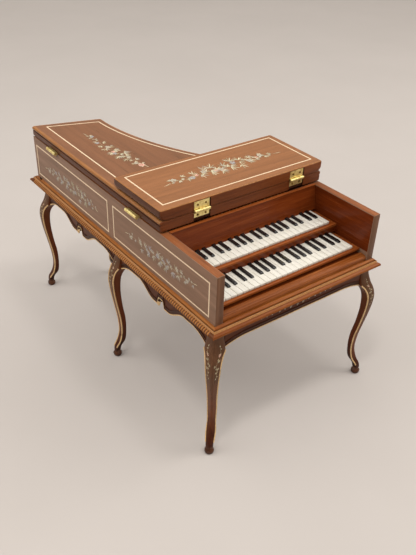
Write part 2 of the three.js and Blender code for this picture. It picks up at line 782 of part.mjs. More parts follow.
// Lengths of barrel for the fixed leaf (both ends) and the moving leaf (the middle).
function knuckles(centre, width) {
  const half = width / 2;
  const third = width / 6;
  const play = 0.08;
  return {
    ends: [[centre - half, centre - third - play], [centre + third + play, centre + half]],
    middle: [[centre - third, centre + third]],
  };
}

function makeFlapHinge(side, x) {
  const half = FRONT_HINGE_WIDTH / 2;
  const { ends, middle } = knuckles(x, FRONT_HINGE_WIDTH);
  const face = LID_FRONT_Y;
  const args = ["x", FLAP_AXIS_Y, SEAM_Z, KNUCKLE_RADIUS];
  const tuck = KNUCKLE_RADIUS * 0.55;
  const upper = box(x - half, x + half, face, face + LEAF, SEAM_Z + tuck, SEAM_Z + 3.7);
  const upperNeck = box(middle[0][0], middle[0][1], FLAP_AXIS_Y, face + LEAF, SEAM_Z + 0.1, SEAM_Z + 0.9);
  const lower = box(x - half, x + half, face, face + LEAF, SEAM_Z - 2.7, SEAM_Z - tuck);
  const lowerNecks = ends.map(([a, b]) => box(a, b, FLAP_AXIS_Y, face + LEAF, SEAM_Z - 0.9, SEAM_Z - 0.1));
  const room = (list) => list.map(([a, b]) =>
    rod("x", a - 0.1, b + 0.1, FLAP_AXIS_Y, SEAM_Z, KNUCKLE_RADIUS + 0.15));
  const upperPlate = joined(cut(upper, ...room(ends)), upperNeck);
  const lowerPlate = joined(cut(lower, ...room(middle)), ...lowerNecks);
  add(`flap_hinge_${side}_flap_leaf`, hingeLeaf(...args, upperPlate, middle), brass);
  add(`flap_hinge_${side}_lid_leaf`, hingeLeaf(...args, lowerPlate, ends), brass);
  const pin = rod("x", x - half - 0.15, x + half + 0.15, FLAP_AXIS_Y, SEAM_Z, KNUCKLE_RADIUS * 0.46, 12);
  add(`flap_hinge_${side}_pin`, pin, brass);
}

function makeSpineHinge(place, y) {
  const half = SPINE_HINGE_WIDTH / 2;
  const { ends, middle } = knuckles(y, SPINE_HINGE_WIDTH);
  const args = ["y", LID_AXIS_X, LID_AXIS_Z, SPINE_KNUCKLE_RADIUS];
  const thin = (LID_UNDER - CASE_TOP) / 2 - 0.1;
  const start = LID_AXIS_X + SPINE_KNUCKLE_RADIUS * 0.8;
  const under = box(start, LEAF_REACH, y - half, y + half, CASE_TOP + FIT, CASE_TOP + thin);
  const over = box(start, LEAF_REACH, y - half, y + half, LID_UNDER - thin, LID_UNDER - FIT);
  const room = (list) => list.map(([a, b]) =>
    rod("y", a - 0.1, b + 0.1, LID_AXIS_X, LID_AXIS_Z, SPINE_KNUCKLE_RADIUS + 0.1));
  const necks = (list, z0, z1) => list.map(([a, b]) => box(LID_AXIS_X, start + 0.1, a, b, z0, z1));
  const lowNecks = necks(ends, CASE_TOP + FIT, CASE_TOP + thin);
  const highNeck = necks(middle, LID_UNDER - thin, LID_UNDER - FIT);
  const casePlate = joined(cut(under, ...room(middle)), ...lowNecks);
  const lidPlate = joined(cut(over, ...room(ends)), ...highNeck);
  add(`spine_hinge_${place}_case_leaf`, hingeLeaf(...args, casePlate, ends), brass);
  add(`spine_hinge_${place}_lid_leaf`, hingeLeaf(...args, lidPlate, middle), brass);
  const radius = SPINE_KNUCKLE_RADIUS * 0.46;
  const pin = rod("y", y - half - 0.15, y + half + 0.15, LID_AXIS_X, LID_AXIS_Z, radius, 12);
  add(`spine_hinge_${place}_pin`, pin, brass);
}

// ---- assembly -------------------------------------------------------------------------------

makeFrame();
makeLegs();
makeAprons();
makeCase();
makeKeyboards();
makeInside();
makeLid();
makeFlap();
makeFlapHinge("left", FRONT_HINGE_X[0]);
makeFlapHinge("right", FRONT_HINGE_X[1]);
makeSpineHinge("front", SPINE_HINGE_Y[0]);
makeSpineHinge("rear", SPINE_HINGE_Y[1]);

const bounds = new THREE.Box3().setFromObject(instrument);
const middle = bounds.getCenter(new THREE.Vector3());
instrument.position.set(-middle.x, -middle.y, -bounds.min.z);

export default instrument;
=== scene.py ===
"""Miniature two-manual harpsichord on a cabriole-leg stand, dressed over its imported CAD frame.

Shapes are drawn in millimetres from the front left corner of the case, with +X to the treble side
and +Y to the tail, and are turned into the row frame's metres where a mesh is made.
"""
import math
import random

import bmesh
import bpy
from mathutils import Matrix, Vector


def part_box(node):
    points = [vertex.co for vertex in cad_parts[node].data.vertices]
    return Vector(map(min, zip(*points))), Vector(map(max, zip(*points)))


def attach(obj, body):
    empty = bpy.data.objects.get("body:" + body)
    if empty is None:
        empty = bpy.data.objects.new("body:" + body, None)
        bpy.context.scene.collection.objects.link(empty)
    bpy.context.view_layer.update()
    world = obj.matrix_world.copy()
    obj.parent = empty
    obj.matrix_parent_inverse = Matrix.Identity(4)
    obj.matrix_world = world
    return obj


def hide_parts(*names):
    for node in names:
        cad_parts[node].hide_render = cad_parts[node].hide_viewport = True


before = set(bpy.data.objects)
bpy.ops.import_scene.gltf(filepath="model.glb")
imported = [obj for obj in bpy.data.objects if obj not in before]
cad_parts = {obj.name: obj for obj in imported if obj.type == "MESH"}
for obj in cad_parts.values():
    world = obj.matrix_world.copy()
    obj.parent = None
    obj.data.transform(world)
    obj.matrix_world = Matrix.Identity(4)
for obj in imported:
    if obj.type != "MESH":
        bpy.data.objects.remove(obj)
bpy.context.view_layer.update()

# ---- places read from the frame ---------------------------------------------------------------

MM = 0.001
CORNER = Vector((*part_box("case_spine")[0][:2], 0.0))


def to_row(x, y, z):
    return CORNER + Vector((x, y, z)) * MM


def extent(node):
    """Lowest and highest corner of a CAD node, in millimetres from the case's corner."""
    low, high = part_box(node)
    return tuple((Vector(low) - CORNER) / MM), tuple((Vector(high) - CORNER) / MM)


CASE_WIDTH = extent("case_cheek")[1][0]
CHEEK_LENGTH = extent("case_cheek")[1][1]
TAIL_LEFT_Y = extent("case_spine")[1][1]
TAIL_RIGHT = (extent("case_tail")[1][0], extent("case_bentside")[1][1])


def heights(node):
    """Lowest and highest level of a CAD node."""
    low, high = extent(node)
    return low[2], high[2]


CASE_BOTTOM, CASE_TOP = heights("case_spine")
WALL = extent("case_spine")[1][0]
STAND_UNDER, STAND_TOP = heights("stand_frame_front")
LID_UNDER, LID_TOP = heights("lid")
FLAP_UNDER, FLAP_TOP = heights("flap")
LID_FRONT = extent("flap")[0][1]
FLAP_BACK = extent("flap")[1][1]
OVERHANG = -extent("lid")[0][0]
BENT_PULL_TAIL = (29.4, 106)
BENT_PULL_CHEEK = (41.7, 65)


def srgb(red, green, blue):
    """A screen colour, 0 to 255, as linear RGBA."""
    def linear(value):
        value /= 255
        return value / 12.92 if value <= 0.04045 else ((value + 0.055) / 1.055) ** 2.4
    return (linear(red), linear(green), linear(blue), 1)


# ---- materials --------------------------------------------------------------------------------

class Finish:
    """A Principled material, with short names for the nodes that its textures need."""

    def __init__(self, name, roughness=0.4, coat=0.0, metallic=0.0, shine=0.5):
        self.material = bpy.data.materials.new(name)
        self.material.use_nodes = True
        self.tree = self.material.node_tree
        self.shader = self.tree.nodes["Principled BSDF"]
        self.shader.inputs["Roughness"].default_value = roughness
        self.shader.inputs["Metallic"].default_value = metallic
        self.shader.inputs["Coat Weight"].default_value = coat
        self.shader.inputs["Coat Roughness"].default_value = 0.2
        self.shader.inputs["Specular IOR Level"].default_value = shine
        self.place = self.tree.nodes.new("ShaderNodeTexCoord").outputs["Object"]

    def node(self, kind, inputs=(), **settings):
        made = self.tree.nodes.new("ShaderNode" + kind)
        for key, value in settings.items():
            setattr(made, key, value)
        for key, value in dict(inputs).items():
            if isinstance(value, bpy.types.NodeSocket):
                self.tree.links.new(value, made.inputs[key])
            else:
                made.inputs[key].default_value = value
        return made

    def noise(self, size, detail=5, distortion=0.0, offset=0.0):
        """Noise whose blotches measure size (x, y, z), in millimetres."""
        scale = [1 / (s * MM) for s in size]
        shift = (offset, offset, offset)
        placed = self.node("Mapping", {"Vector": self.place, "Scale": scale, "Location": shift})
        texture = self.node("TexNoise", {
            "Vector": placed.outputs[0], "Scale": 1.0, "Detail": detail, "Roughness": 0.6,
            "Distortion": distortion,
        })
        return texture.outputs["Fac"]

    def ramp(self, value, *stops):
        made = self.node("ValToRGB", {"Fac": value})
        elements = made.color_ramp.elements
        while len(elements) < len(stops):
            elements.new(0.5)
        for element, (position, colour) in zip(elements, stops):
            element.position = position
            element.color = colour
        return made.outputs["Color"]

    def mix(self, share, first, second, blend="MIX"):
        made = self.node("Mix", data_type="RGBA", blend_type=blend)
        for socket, value in ((0, share), (6, first), (7, second)):
            if isinstance(value, bpy.types.NodeSocket):
                self.tree.links.new(value, made.inputs[socket])
            else:
                made.inputs[socket].default_value = value
        return made.outputs[2]

    def between(self, value, low, high, start=0.3, end=0.7):
        """value from start to end, as a number from low to high."""
        return self.node("MapRange", {
            "Value": value, "From Min": start, "From Max": end, "To Min": low, "To Max": high,
        }).outputs[0]

    def height(self):
        """Height above the ground, in metres."""
        return self.node("SeparateXYZ", {"Vector": self.place}).outputs["Z"]

    def colour(self, value):
        self.tree.links.new(value, self.shader.inputs["Base Color"])

    def rough(self, value):
        self.tree.links.new(value, self.shader.inputs["Roughness"])

    def bump(self, value, strength, depth):
        made = self.node("Bump", {"Height": value, "Strength": strength, "Distance": depth * MM})
        self.tree.links.new(made.outputs[0], self.shader.inputs["Normal"])


def grain_size(along, across, length):
    """A blotch size that is long in the direction of the grain."""
    return [length if axis == along else across for axis in "xyz"]


WOOD_SHINE = 0.12


def wood(name, along, dark, middle, light, gloss=0.32, coat=0.03, pores=0.2):
    """Varnished wood with broad bands, fine figure and short open pores along its grain."""
    finish = Finish(name, coat=coat, shine=WOOD_SHINE)
    bands = finish.noise(grain_size(along, 2.6, 42), detail=4, distortion=0.6)
    figure = finish.noise(grain_size(along, 0.5, 11), detail=6, distortion=0.3, offset=7)
    fibre = finish.noise(grain_size(along, 0.13, 2.2), detail=3, offset=21)
    mixed = finish.mix(0.35, bands, figure)
    tone = finish.ramp(mixed, (0.32, srgb(*dark)), (0.5, srgb(*middle)), (0.68, srgb(*light)))
    pore = finish.ramp(fibre, (0.34, srgb(*[c * 0.55 for c in dark])), (0.47, (1, 1, 1, 1)))
    finish.colour(finish.mix(pores, tone, pore, "MULTIPLY"))
    finish.rough(finish.between(figure, gloss - 0.05, gloss + 0.1))
    finish.bump(fibre, 0.12, 0.03)
    return finish.material


def leg_wood(name, foot, shin, knee):
    """Leg colour that changes with height: dark foot, brown shin, painted knee."""
    finish = Finish(name, coat=0.02, shine=WOOD_SHINE)
    figure = finish.noise((0.5, 0.5, 9), detail=6, distortion=0.3)
    fibre = finish.noise((0.16, 0.16, 2.5), detail=3, offset=5)
    wander = finish.noise((2, 2, 5), offset=11)
    level = finish.node("Math", {0: finish.height(), 1: 0.02}, operation="DIVIDE").outputs[0]
    moved = finish.node("Math", {0: level, 1: finish.between(wander, -0.2, 0.2)}, operation="ADD")
    base = finish.ramp(
        finish.node("Math", {0: moved.outputs[0], 1: 1 / 3}, operation="MULTIPLY").outputs[0],
        (0.1, srgb(*foot)), (0.32, srgb(*shin)), (0.62, srgb(*knee)),
    )
    shade = finish.ramp(figure, (0.3, (0.62, 0.6, 0.58, 1)), (0.65, (1.15, 1.12, 1.1, 1)))
    finish.colour(finish.mix(0.8, base, shade, "MULTIPLY"))
    finish.rough(finish.between(figure, 0.26, 0.4))
    finish.bump(fibre, 0.15, 0.04)
    return finish.material


def paint(name, tone, spread=0.18, roughness=0.5):
    """Thin brushed paint or inlay, a little uneven in tone."""
    finish = Finish(name, roughness=roughness)
    mottle = finish.noise((0.5, 0.5, 0.5), detail=4)
    low = srgb(*[c * (1 - spread) for c in tone])
    high = srgb(*[min(c * (1 + spread / 2), 255) for c in tone])
    finish.colour(finish.ramp(mottle, (0.35, low), (0.65, high)))
    finish.bump(mottle, 0.2, 0.02)
    return finish.material


def key_cover(name, tone, roughness, streak):
    """Polished key covering with faint streaks along the key."""
    finish = Finish(name, coat=0.25)
    streaks = finish.noise((0.25, 6, 0.4), detail=4)
    cloud = finish.noise((2.64, 30, 30), detail=1, offset=3)
    low = srgb(*[c * (1 - streak) for c in tone])
    colour = finish.ramp(streaks, (0.35, low), (0.6, srgb(*tone)))
    tint = finish.ramp(cloud, (0.4, (0.93, 0.92, 0.88, 1)), (0.6, (1, 1, 1, 1)))
    finish.colour(finish.mix(0.6, colour, tint, "MULTIPLY"))
    finish.rough(finish.between(streaks, roughness - 0.05, roughness + 0.08))
    finish.bump(streaks, 0.06, 0.02)
    return finish.material


def metal(name, tone, tarnish, roughness, metallic=1.0):
    """Polished metal with brushed lines and darker tarnish in patches."""
    finish = Finish(name, metallic=metallic)
    patch = finish.noise((1.6, 1.6, 1.6), detail=5)
    lines = finish.noise((1.5, 0.06, 0.06), detail=2)
    finish.colour(finish.ramp(patch, (0.3, srgb(*tarnish)), (0.55, srgb(*tone))))
    finish.rough(finish.between(patch, roughness + 0.16, roughness))
    finish.bump(lines, 0.12, 0.015)
    return finish.material


def backdrop_paper():
    finish = Finish("backdrop_paper", roughness=0.9)
    cloud = finish.noise((90, 90, 90), detail=3)
    finish.colour(finish.ramp(cloud, (0.3, srgb(178, 172, 167)), (0.7, srgb(181, 175, 170))))
    return finish.material


lid_panel_wood = wood("lid_panel_wood", "y", (108, 74, 50), (122, 82, 56), (132, 90, 62))
flap_panel_wood = wood("flap_panel_wood", "x", (124, 83, 53), (138, 92, 58), (151, 102, 66))
# Lighter wood on the upper half of the lid's bead and on the flap's eased top edge: painted highlight.
lid_edge_highlight_wood = wood("lid_edge_highlight_wood", "y", (122, 80, 44), (144, 97, 56), (166, 116, 70), gloss=0.24)
# Darker wood on the lower bead, sides and undersides of the lid and flap: painted shade.
lid_side_shade_wood = wood("lid_side_shade_wood", "y", (58, 32, 20), (76, 44, 28), (94, 58, 38))
# Darker, redder copy of the board wood on the front and back faces of the lid and flap: painted shade.
flap_side_shade_wood = wood("flap_side_shade_wood", "x", (84, 42, 20), (104, 54, 26), (122, 66, 32))
spine_paint = wood("spine_paint", "y", (112, 86, 68), (126, 97, 78), (138, 108, 88), pores=0.12)
bent_paint = wood("bent_paint", "y", (112, 86, 68), (126, 97, 78), (138, 108, 88), pores=0.12)
cheek_wood = wood("cheek_wood", "y", (104, 60, 34), (128, 76, 44), (148, 92, 56))
post_wood = wood("post_wood", "z", (88, 58, 42), (106, 74, 54), (122, 88, 66))
inner_wood = wood("inner_wood", "x", (84, 34, 10), (104, 45, 15), (120, 58, 22), gloss=0.2, coat=0.04)
board_wood = wood("board_wood", "x", (108, 52, 20), (132, 68, 28), (152, 86, 42), gloss=0.24, coat=0.04)
moulding_x = wood("moulding_x", "x", (100, 50, 18), (128, 70, 28), (152, 92, 42), gloss=0.24, coat=0.04)
moulding_y = wood("moulding_y", "y", (112, 62, 24), (142, 86, 38), (172, 114, 58), gloss=0.24, coat=0.04)
# Painted light on the ribbed moulding: the darker wood is painted shade in the hollows, the lighter wood
# painted highlight on the crests.
rib_hollow_shade_wood = wood("rib_hollow_shade_wood", "y", (70, 36, 12), (92, 50, 20), (110, 64, 28))
rib_crest_highlight_wood = wood("rib_crest_highlight_wood", "y", (134, 84, 38), (158, 104, 52), (182, 128, 70), gloss=0.24)
apron_paint = wood("apron_paint", "x", (62, 28, 9), (78, 37, 14), (94, 50, 22), pores=0.2)
# Darker wood: the aprons' lower band and backs, and painted shade in the moulding's groove and underside
# and on the hinge mortise walls.
dark_band_and_shade_wood = wood("dark_band_and_shade_wood", "x", (46, 22, 12), (62, 32, 17), (82, 46, 26))
leg_outer = leg_wood("leg_outer", (60, 24, 8), (106, 58, 30), (92, 62, 42))
leg_inner = leg_wood("leg_inner", (48, 18, 5), (92, 42, 16), (98, 50, 22))
foot_wood = wood("foot_wood", "x", (48, 22, 8), (70, 36, 16), (96, 56, 28), gloss=0.18, coat=0.4)
inner_wood_deep = wood(
    "inner_wood_deep", "y", (78, 30, 8), (98, 40, 12), (118, 54, 20), gloss=0.2, coat=0.05,
)
spruce = wood("spruce", "y", (176, 132, 78), (196, 152, 94), (212, 172, 114), coat=0.1, pores=0.12)
stringing = paint("stringing", (222, 198, 166), spread=0.08, roughness=0.35)
gold_line = paint("gold_line", (210, 174, 122), spread=0.15, roughness=0.4)
# The fillet's gold is partly gilding and partly a painted highlight line along the moulding.
fillet_gilt_highlight = paint("fillet_gilt_highlight", (166, 114, 62), spread=0.15, roughness=0.4)
natural_cover = key_cover("natural_cover", (214, 211, 201), 0.3, 0.05)
sharp_cover = key_cover("sharp_cover", (13, 11, 11), 0.2, 0.4)
brass = metal("brass", (238, 220, 150), (196, 164, 94), 0.28, 0.75)
# A darker copy of the brass for the screw heads: painted shade where they sit sunk in their holes.
screw_shade_brass = metal("screw_shade_brass", (132, 104, 52), (72, 50, 22), 0.35)
steel = metal("steel", (196, 192, 184), (132, 126, 118), 0.25)
gilt = metal("gilt", (214, 172, 92), (140, 98, 42), 0.35)
felt = paint("felt", (120, 24, 22), spread=0.25, roughness=0.95)
LEAF_PALE = paint("leaf_pale", (204, 194, 162))
LEAF_GREEN = paint("leaf_green", (162, 152, 122))
LEAF_DULL = paint("leaf_dull", (172, 162, 144))
STEM = paint("stem", (160, 138, 104))
STEM_DARK = paint("stem_dark", (118, 92, 66))
ROSE = paint("rose", (202, 132, 112))
ROSE_LIGHT = paint("rose_light", (222, 182, 160))
BLUE = paint("blue", (150, 146, 146))
PETALS = [LEAF_PALE, LEAF_GREEN, LEAF_DULL, STEM, STEM_DARK, ROSE, ROSE_LIGHT, BLUE]


# ---- mesh helpers -----------------------------------------------------------------------------

SMOOTH_ANGLE = math.radians(32)


def piece(name, points, faces, materials, body, shades=None, slot=None, stands_for=()):
    """A mesh from points in millimetres, riding on a body. shades gives each face its material."""
    mesh = bpy.data.meshes.new(name)
    mesh.from_pydata([to_row(*p) for p in points], [], faces)
    for material in materials:
        mesh.materials.append(material)
    if shades:
        mesh.polygons.foreach_set("material_index", shades)
    made = bpy.data.objects.new(name, mesh)
    bpy.context.collection.objects.link(made)
    soften_shading(mesh)
    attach(made, body)
    if stands_for:
        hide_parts(*stands_for)
    return made


def soften_shading(mesh):
    mesh.polygons.foreach_set("use_smooth", [True] * len(mesh.polygons))
    mesh.set_sharp_from_angle(angle=SMOOTH_ANGLE)
    mesh.update()


def loft(rings, shade_of=None, cap_shade=0):
    """(points, faces, shades) of a closed skin through rings of equal length.

    shade_of(ring, side) gives the material of the face between side and side + 1 of two rings.
    """
    count = len(rings[0])
    points = [p for ring in rings for p in ring]
    faces = [list(range(count))[::-1]]
    shades = [cap_shade]
    for r in range(len(rings) - 1):
        for i in range(count):
            a = r * count + i
            b = r * count + (i + 1) % count
            faces.append([a, b, b + count, a + count])
            shades.append(shade_of(r, i) if shade_of else 0)
    last = (len(rings) - 1) * count
    faces.append([last + i for i in range(count)])
    shades.append(cap_shade)
    return points, faces, shades


def facing_out(made):
    """Turns every face of a closed piece outward."""
    edit = bmesh.new()
    edit.from_mesh(made.data)
    bmesh.ops.recalc_face_normals(edit, faces=edit.faces)
    edit.to_mesh(made.data)
    edit.free()
    soften_shading(made.data)
    return made


def solid(name, part, material, body="case", slot=None, stands_for=()):
    """A closed piece in one material, from (points, faces)."""
    return facing_out(piece(name, *part, [material], body, None, slot, stands_for))


def turns(count):
    """(cosine, sine) at even steps round a circle."""
    return [(math.cos(a), math.sin(a)) for a in (2 * math.pi * k / count for k in range(count))]


def arc(centre, radius, start, end, steps):
    """Points on a circle (or on an ellipse, for a pair of radii), between two angles in degrees."""
    wide, tall = radius if isinstance(radius, tuple) else (radius, radius)
    angles = [math.radians(start + (end - start) * i / steps) for i in range(steps + 1)]
    return [(centre[0] + wide * math.cos(a), centre[1] + tall * math.sin(a)) for a in angles]


def catmull(points, steps):
    """A smooth line through points of any dimension, steps points for each span."""
    padded = [points[0], *points, points[-1]]
    line = []
    for i in range(len(points) - 1):
        p0, p1, p2, p3 = (Vector(p) for p in padded[i:i + 4])
        for k in range(steps):
            t = k / steps
            line.append(0.5 * (
                2 * p1 + (p2 - p0) * t + (2 * p0 - 5 * p1 + 4 * p2 - p3) * t ** 2
                + (3 * p1 - p0 - 3 * p2 + p3) * t ** 3
            ))
    line.append(Vector(points[-1]))
    return line


def block(x, y, z, ease):
    """(points, faces) of a box with eased edges, from three (low, high) pairs."""
    edit = bmesh.new()
    bmesh.ops.create_cube(edit, size=1)
    for vertex in edit.verts:
        vertex.co = Vector(
            low + (high - low) * (c + 0.5) for c, (low, high) in zip(vertex.co, (x, y, z))
        )
    bmesh.ops.bevel(
        edit, geom=edit.edges[:], offset=ease, segments=2, profile=0.5, affect="EDGES",
    )
    points = [v.co.copy() for v in edit.verts]
    faces = [[v.index for v in face.verts] for face in edit.faces]
    edit.free()
    return points, faces


def gather(parts):
    """Joins (points, faces) parts into one."""
    points, faces = [], []
    for some_points, some_faces in parts:
        start = len(points)
        points.extend(some_points)
        faces.extend([start + i for i in face] for face in some_faces)
    return points, faces


def ease_node(node, material, width=0.12):
    """Gives a CAD node its material and breaks its sharp edges."""
    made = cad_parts[node]
    made.data.materials.clear()
    made.data.materials.append(material)
    bevel = made.modifiers.new("eased_edges", "BEVEL")
    bevel.width = width * MM
    bevel.segments = 2
    bevel.limit_method = "ANGLE"
    bevel.angle_limit = math.radians(35)
    bevel.harden_normals = False
    return made


def carve(made, cutters):
    """Cuts closed meshes out of a piece, and leaves no modifier behind."""
    for cutter in cutters:
        cutting = made.modifiers.new("carve", "BOOLEAN")
        cutting.operation = "DIFFERENCE"
        cutting.solver = "EXACT"
        cutting.object = cutter
    bpy.context.view_layer.update()
    depsgraph = bpy.context.evaluated_depsgraph_get()
    carved = bpy.data.meshes.new_from_object(made.evaluated_get(depsgraph))
    made.modifiers.clear()
    made.data = carved
    for cutter in cutters:
        bpy.data.objects.remove(cutter)
    soften_shading(carved)
    return made


# ---- plan outline -----------------------------------------------------------------------------

RIB_PITCH = 1.2
STEP = RIB_PITCH / 4


def bent_curve(share):
    """A point of the bentside, at 0 by the cheek and at 1 by the tail."""
    a, b, c, d = (CASE_WIDTH, CHEEK_LENGTH), BENT_PULL_CHEEK, BENT_PULL_TAIL, TAIL_RIGHT
    keep = 1 - share
    return tuple(
        a[i] * keep ** 3 + 3 * b[i] * keep ** 2 * share + 3 * c[i] * keep * share ** 2 + d[i] * share ** 3
        for i in (0, 1)
    )


def straight(start, end, step):
    count = max(2, round(math.dist(start, end) / step))
    return [
        tuple(start[i] + (end[i] - start[i]) * k / count for i in (0, 1)) for k in range(count)
    ]


def bent(step):
    """The bentside at even steps of length, its far end left out."""
    dense = [bent_curve(k / 600) for k in range(601)]
    travelled = [0.0]
    for a, b in zip(dense, dense[1:]):
        travelled.append(travelled[-1] + math.dist(a, b))
    count = round(travelled[-1] / step)
    line, k = [], 0
    for i in range(count):
        target = travelled[-1] * i / count
        while travelled[k + 1] < target:
            k += 1
        line.append(dense[k])
    return line


SIDES = {
    "front": straight((0, 0), (CASE_WIDTH, 0), STEP),
    "cheek": straight((CASE_WIDTH, 0), (CASE_WIDTH, CHEEK_LENGTH), STEP),
    "bentside": bent(STEP),
    "tail": straight(TAIL_RIGHT, (0, TAIL_LEFT_Y), STEP),
    "spine": straight((0, TAIL_LEFT_Y), (0, 0), STEP),
}
LOOP = [p for side in SIDES.values() for p in side]


def bisectors(points):
    """For each point of a closed loop, what moves both of its edges outward by 1."""
    normals = []
    for (x0, y0), (x1, y1) in zip(points, points[1:] + points[:1]):
        length = math.hypot(x1 - x0, y1 - y0)
        normals.append(Vector(((y1 - y0) / length, (x0 - x1) / length)))
    return [(a + b) / (1 + a.dot(b)) for a, b in zip(normals[-1:] + normals[:-1], normals)]


LOOP_OUT = bisectors(LOOP)


def side_run(side):
    """Points of one side with their outward directions, both corners included."""
    start = 0
    for name, points in SIDES.items():
        if name == side:
            ids = [(start + i) % len(LOOP) for i in range(len(points) + 1)]
            return [(LOOP[i], LOOP_OUT[i]) for i in ids]
        start += len(points)
    raise ValueError(side)


def sweep(run, section, ripple=None):
    """Rings of (offset, z) points along a run; ripple(step, point) moves a point outward."""
    rings = []
    for step, ((x, y), out) in enumerate(run):
        ring = []
        for k, (offset, z) in enumerate(section):
            reach = offset + (ripple(step, k) if ripple else 0)
            ring.append((x + out.x * reach, y + out.y * reach, z))
        rings.append(ring)
    return rings


# ---- stand: moulding --------------------------------------------------------------------------

RIB_DEPTH = 0.2
MOULDING_SHADES = ["wood", "painted_shade", "gilt", "rib_hollow_shade_wood", "rib_crest_highlight_wood"]


def moulding_parts(ribbed):
    """From the top down: quarter round under the case, groove, gilt fillet, big round, underside. The
    groove and the underside take darker wood as painted shade, and the gilt fillet doubles as a painted
    highlight line.
    """
    under, top = STAND_UNDER, STAND_TOP
    return [
        ("wood", [(-4.6, top), (0.12, top)]),
        ("wood", arc((0.35, top - 0.75), 0.62, 92, 8, 6)),
        ("painted_shade", [(0.95, top - 0.95), (1.22, top - 1.0)]),
        # Gilt fillet: gilding that also serves as a painted highlight line.
        ("gilt", [(1.32, top - 0.8), (1.4, top - 0.81), (1.46, top - 0.88)]),
        ("rib" if ribbed else "wood", arc((1.5, under + 0.72), (1.36, 1.06), 80, -12, 9)),
        ("painted_shade", arc((1.5, under + 0.72), (1.36, 0.68), -24, -84, 4)),
        ("painted_shade", [(0.4, under), (-4.6, under)]),
    ]


def make_moulding():
    for side in SIDES:
        ribbed = side != "front"
        section, kinds = [], []
        for kind, points in moulding_parts(ribbed):
            section.extend(points)
            kinds.extend([kind] * len(points))

        def ribs(step, k):
            if kinds[k] != "rib":
                return 0
            return -RIB_DEPTH * (0.5 + 0.5 * math.cos(2 * math.pi * step * STEP / RIB_PITCH))

        def shade(ring, k):
            kind = kinds[k]
            if kind == "rib":
                # Painted light: crest faces take the lighter wood as painted highlight, hollow faces the
                # darker wood as painted shade.
                kind = "rib_crest_highlight_wood" if ring % 4 in (1, 2) else "rib_hollow_shade_wood"
            return MOULDING_SHADES.index(kind)

        wood_here = moulding_x if side in ("front", "tail") else moulding_y
        points, faces, shades = loft(sweep(side_run(side), section, ribs), shade)
        node = f"stand_frame_{side}"
        materials = [wood_here, dark_band_and_shade_wood, fillet_gilt_highlight, rib_hollow_shade_wood, rib_crest_highlight_wood]
        made = piece(f"{node}_moulding", points, faces, materials, "case", shades, "moulding_wood", [node])
        facing_out(made)


# ---- stand: cabriole legs ---------------------------------------------------------------------

LEG_CURVE = [
    (3.3, 2.65, 0.25), (5.5, 2.3, -0.2), (9, 1, -1.85), (14, 0.1, -2.35), (20.5, 0.4, -2.3),
    (27.5, 1.4, -1.45), (34.5, 2.45, -0.95), (40.5, 3, -1.1), (44, 2.75, -1.75), (46.6, 2.1, -3.1),
    (48.1, 1.55, -4.45), (49.2, 1.15, -4.7), (52.5, 0.25, -4.7), (56.1, 0, -4.7),
]
FOOT_CENTRE = 1.45
FOOT_PROFILE = [
    (0, 1.3), (0.12, 1.58), (0.5, 1.82), (1.1, 1.9), (1.7, 1.82), (2.15, 1.55), (2.4, 1.32),
    (2.6, 1.28), (2.8, 1.38), (3.0, 1.4),
]
SQUARENESS = 5.5
GOLD_FROM, GOLD_TO = 4.5, 48.6
TOE_REACH, TOE_Z = 1.3, 1.35
LEG_SIDES = 32
LEGS = {
    "front_left": ((0, 0), (-1, -1)),
    "front_right": ((CASE_WIDTH, 0), (1, -1)),
    "spine_mid": ((0, 67.6), (-1, 0.5)),
    "bentside_mid": ((50, 65.4), (0.9, 0.45)),
    "tail_left": ((0, 134.8), (-1, 1)),
    "tail_right": ((30.2, 126.8), (1, 1)),
}


def leg_ring(corner, outward, middle, half, squareness, z):
    ring = []
    for c, s in turns(LEG_SIDES):
        reach = half / (abs(c) ** squareness + abs(s) ** squareness) ** (1 / squareness)
        ring.append((
            corner[0] + outward[0] * middle + c * reach,
            corner[1] + outward[1] * middle + s * reach,
            z,
        ))
    return ring


def outer_sides(outward):
    """Signs of the leg's painted faces: the x face, and at a corner leg the y face too."""
    across = math.copysign(1, outward[0])
    along = math.copysign(1, outward[1]) if abs(outward[1]) == 1 else 0
    return across, along


def make_leg(place, corner, outward):
    rings = [leg_ring(corner, outward, FOOT_CENTRE, r, 2, z) for z, r in FOOT_PROFILE]
    curve = catmull(LEG_CURVE, 5)
    for z, out, into in curve:
        rings.append(leg_ring(corner, outward, (out + into) / 2, (out - into) / 2, SQUARENESS, z))
    across, along = outer_sides(outward)

    def shade(ring, side):
        if ring < len(FOOT_PROFILE):
            return 2
        angle = 2 * math.pi * (side + 0.5) / LEG_SIDES
        c, s = math.cos(angle), math.sin(angle)
        painted = c * across > abs(s) or s * along > abs(c)
        return 0 if painted else 1

    points, faces, shades = loft(rings, shade)
    node = f"leg_{place}"
    materials = [leg_outer, leg_inner, foot_wood]
    facing_out(piece(f"{node}_carved", points, faces, materials, "case", shades, "leg_wood", [node]))
    make_leg_lines(place, corner, outward, curve)
    make_toe(place, corner, outward)


def make_leg_lines(place, corner, outward, curve):
    """A fine gold line up each arris between a painted face and a plain one."""
    across, along = outer_sides(outward)
    reach = 0.5 ** (1 / SQUARENESS)
    parts = []
    for sx, sy in ((1, 1), (1, -1), (-1, 1), (-1, -1)):
        if (sx == across) == (sy == along):
            continue
        line = []
        for z, out, into in curve:
            if not GOLD_FROM < z < GOLD_TO:
                continue
            middle, half = (out + into) / 2, (out - into) / 2 * reach
            line.append(Vector((
                corner[0] + outward[0] * middle + sx * half,
                corner[1] + outward[1] * middle + sy * half,
                z,
            )))
        parts.append(wire(line, 0.3))
    solid(f"leg_{place}_gold_lines", gather(parts), gold_line)


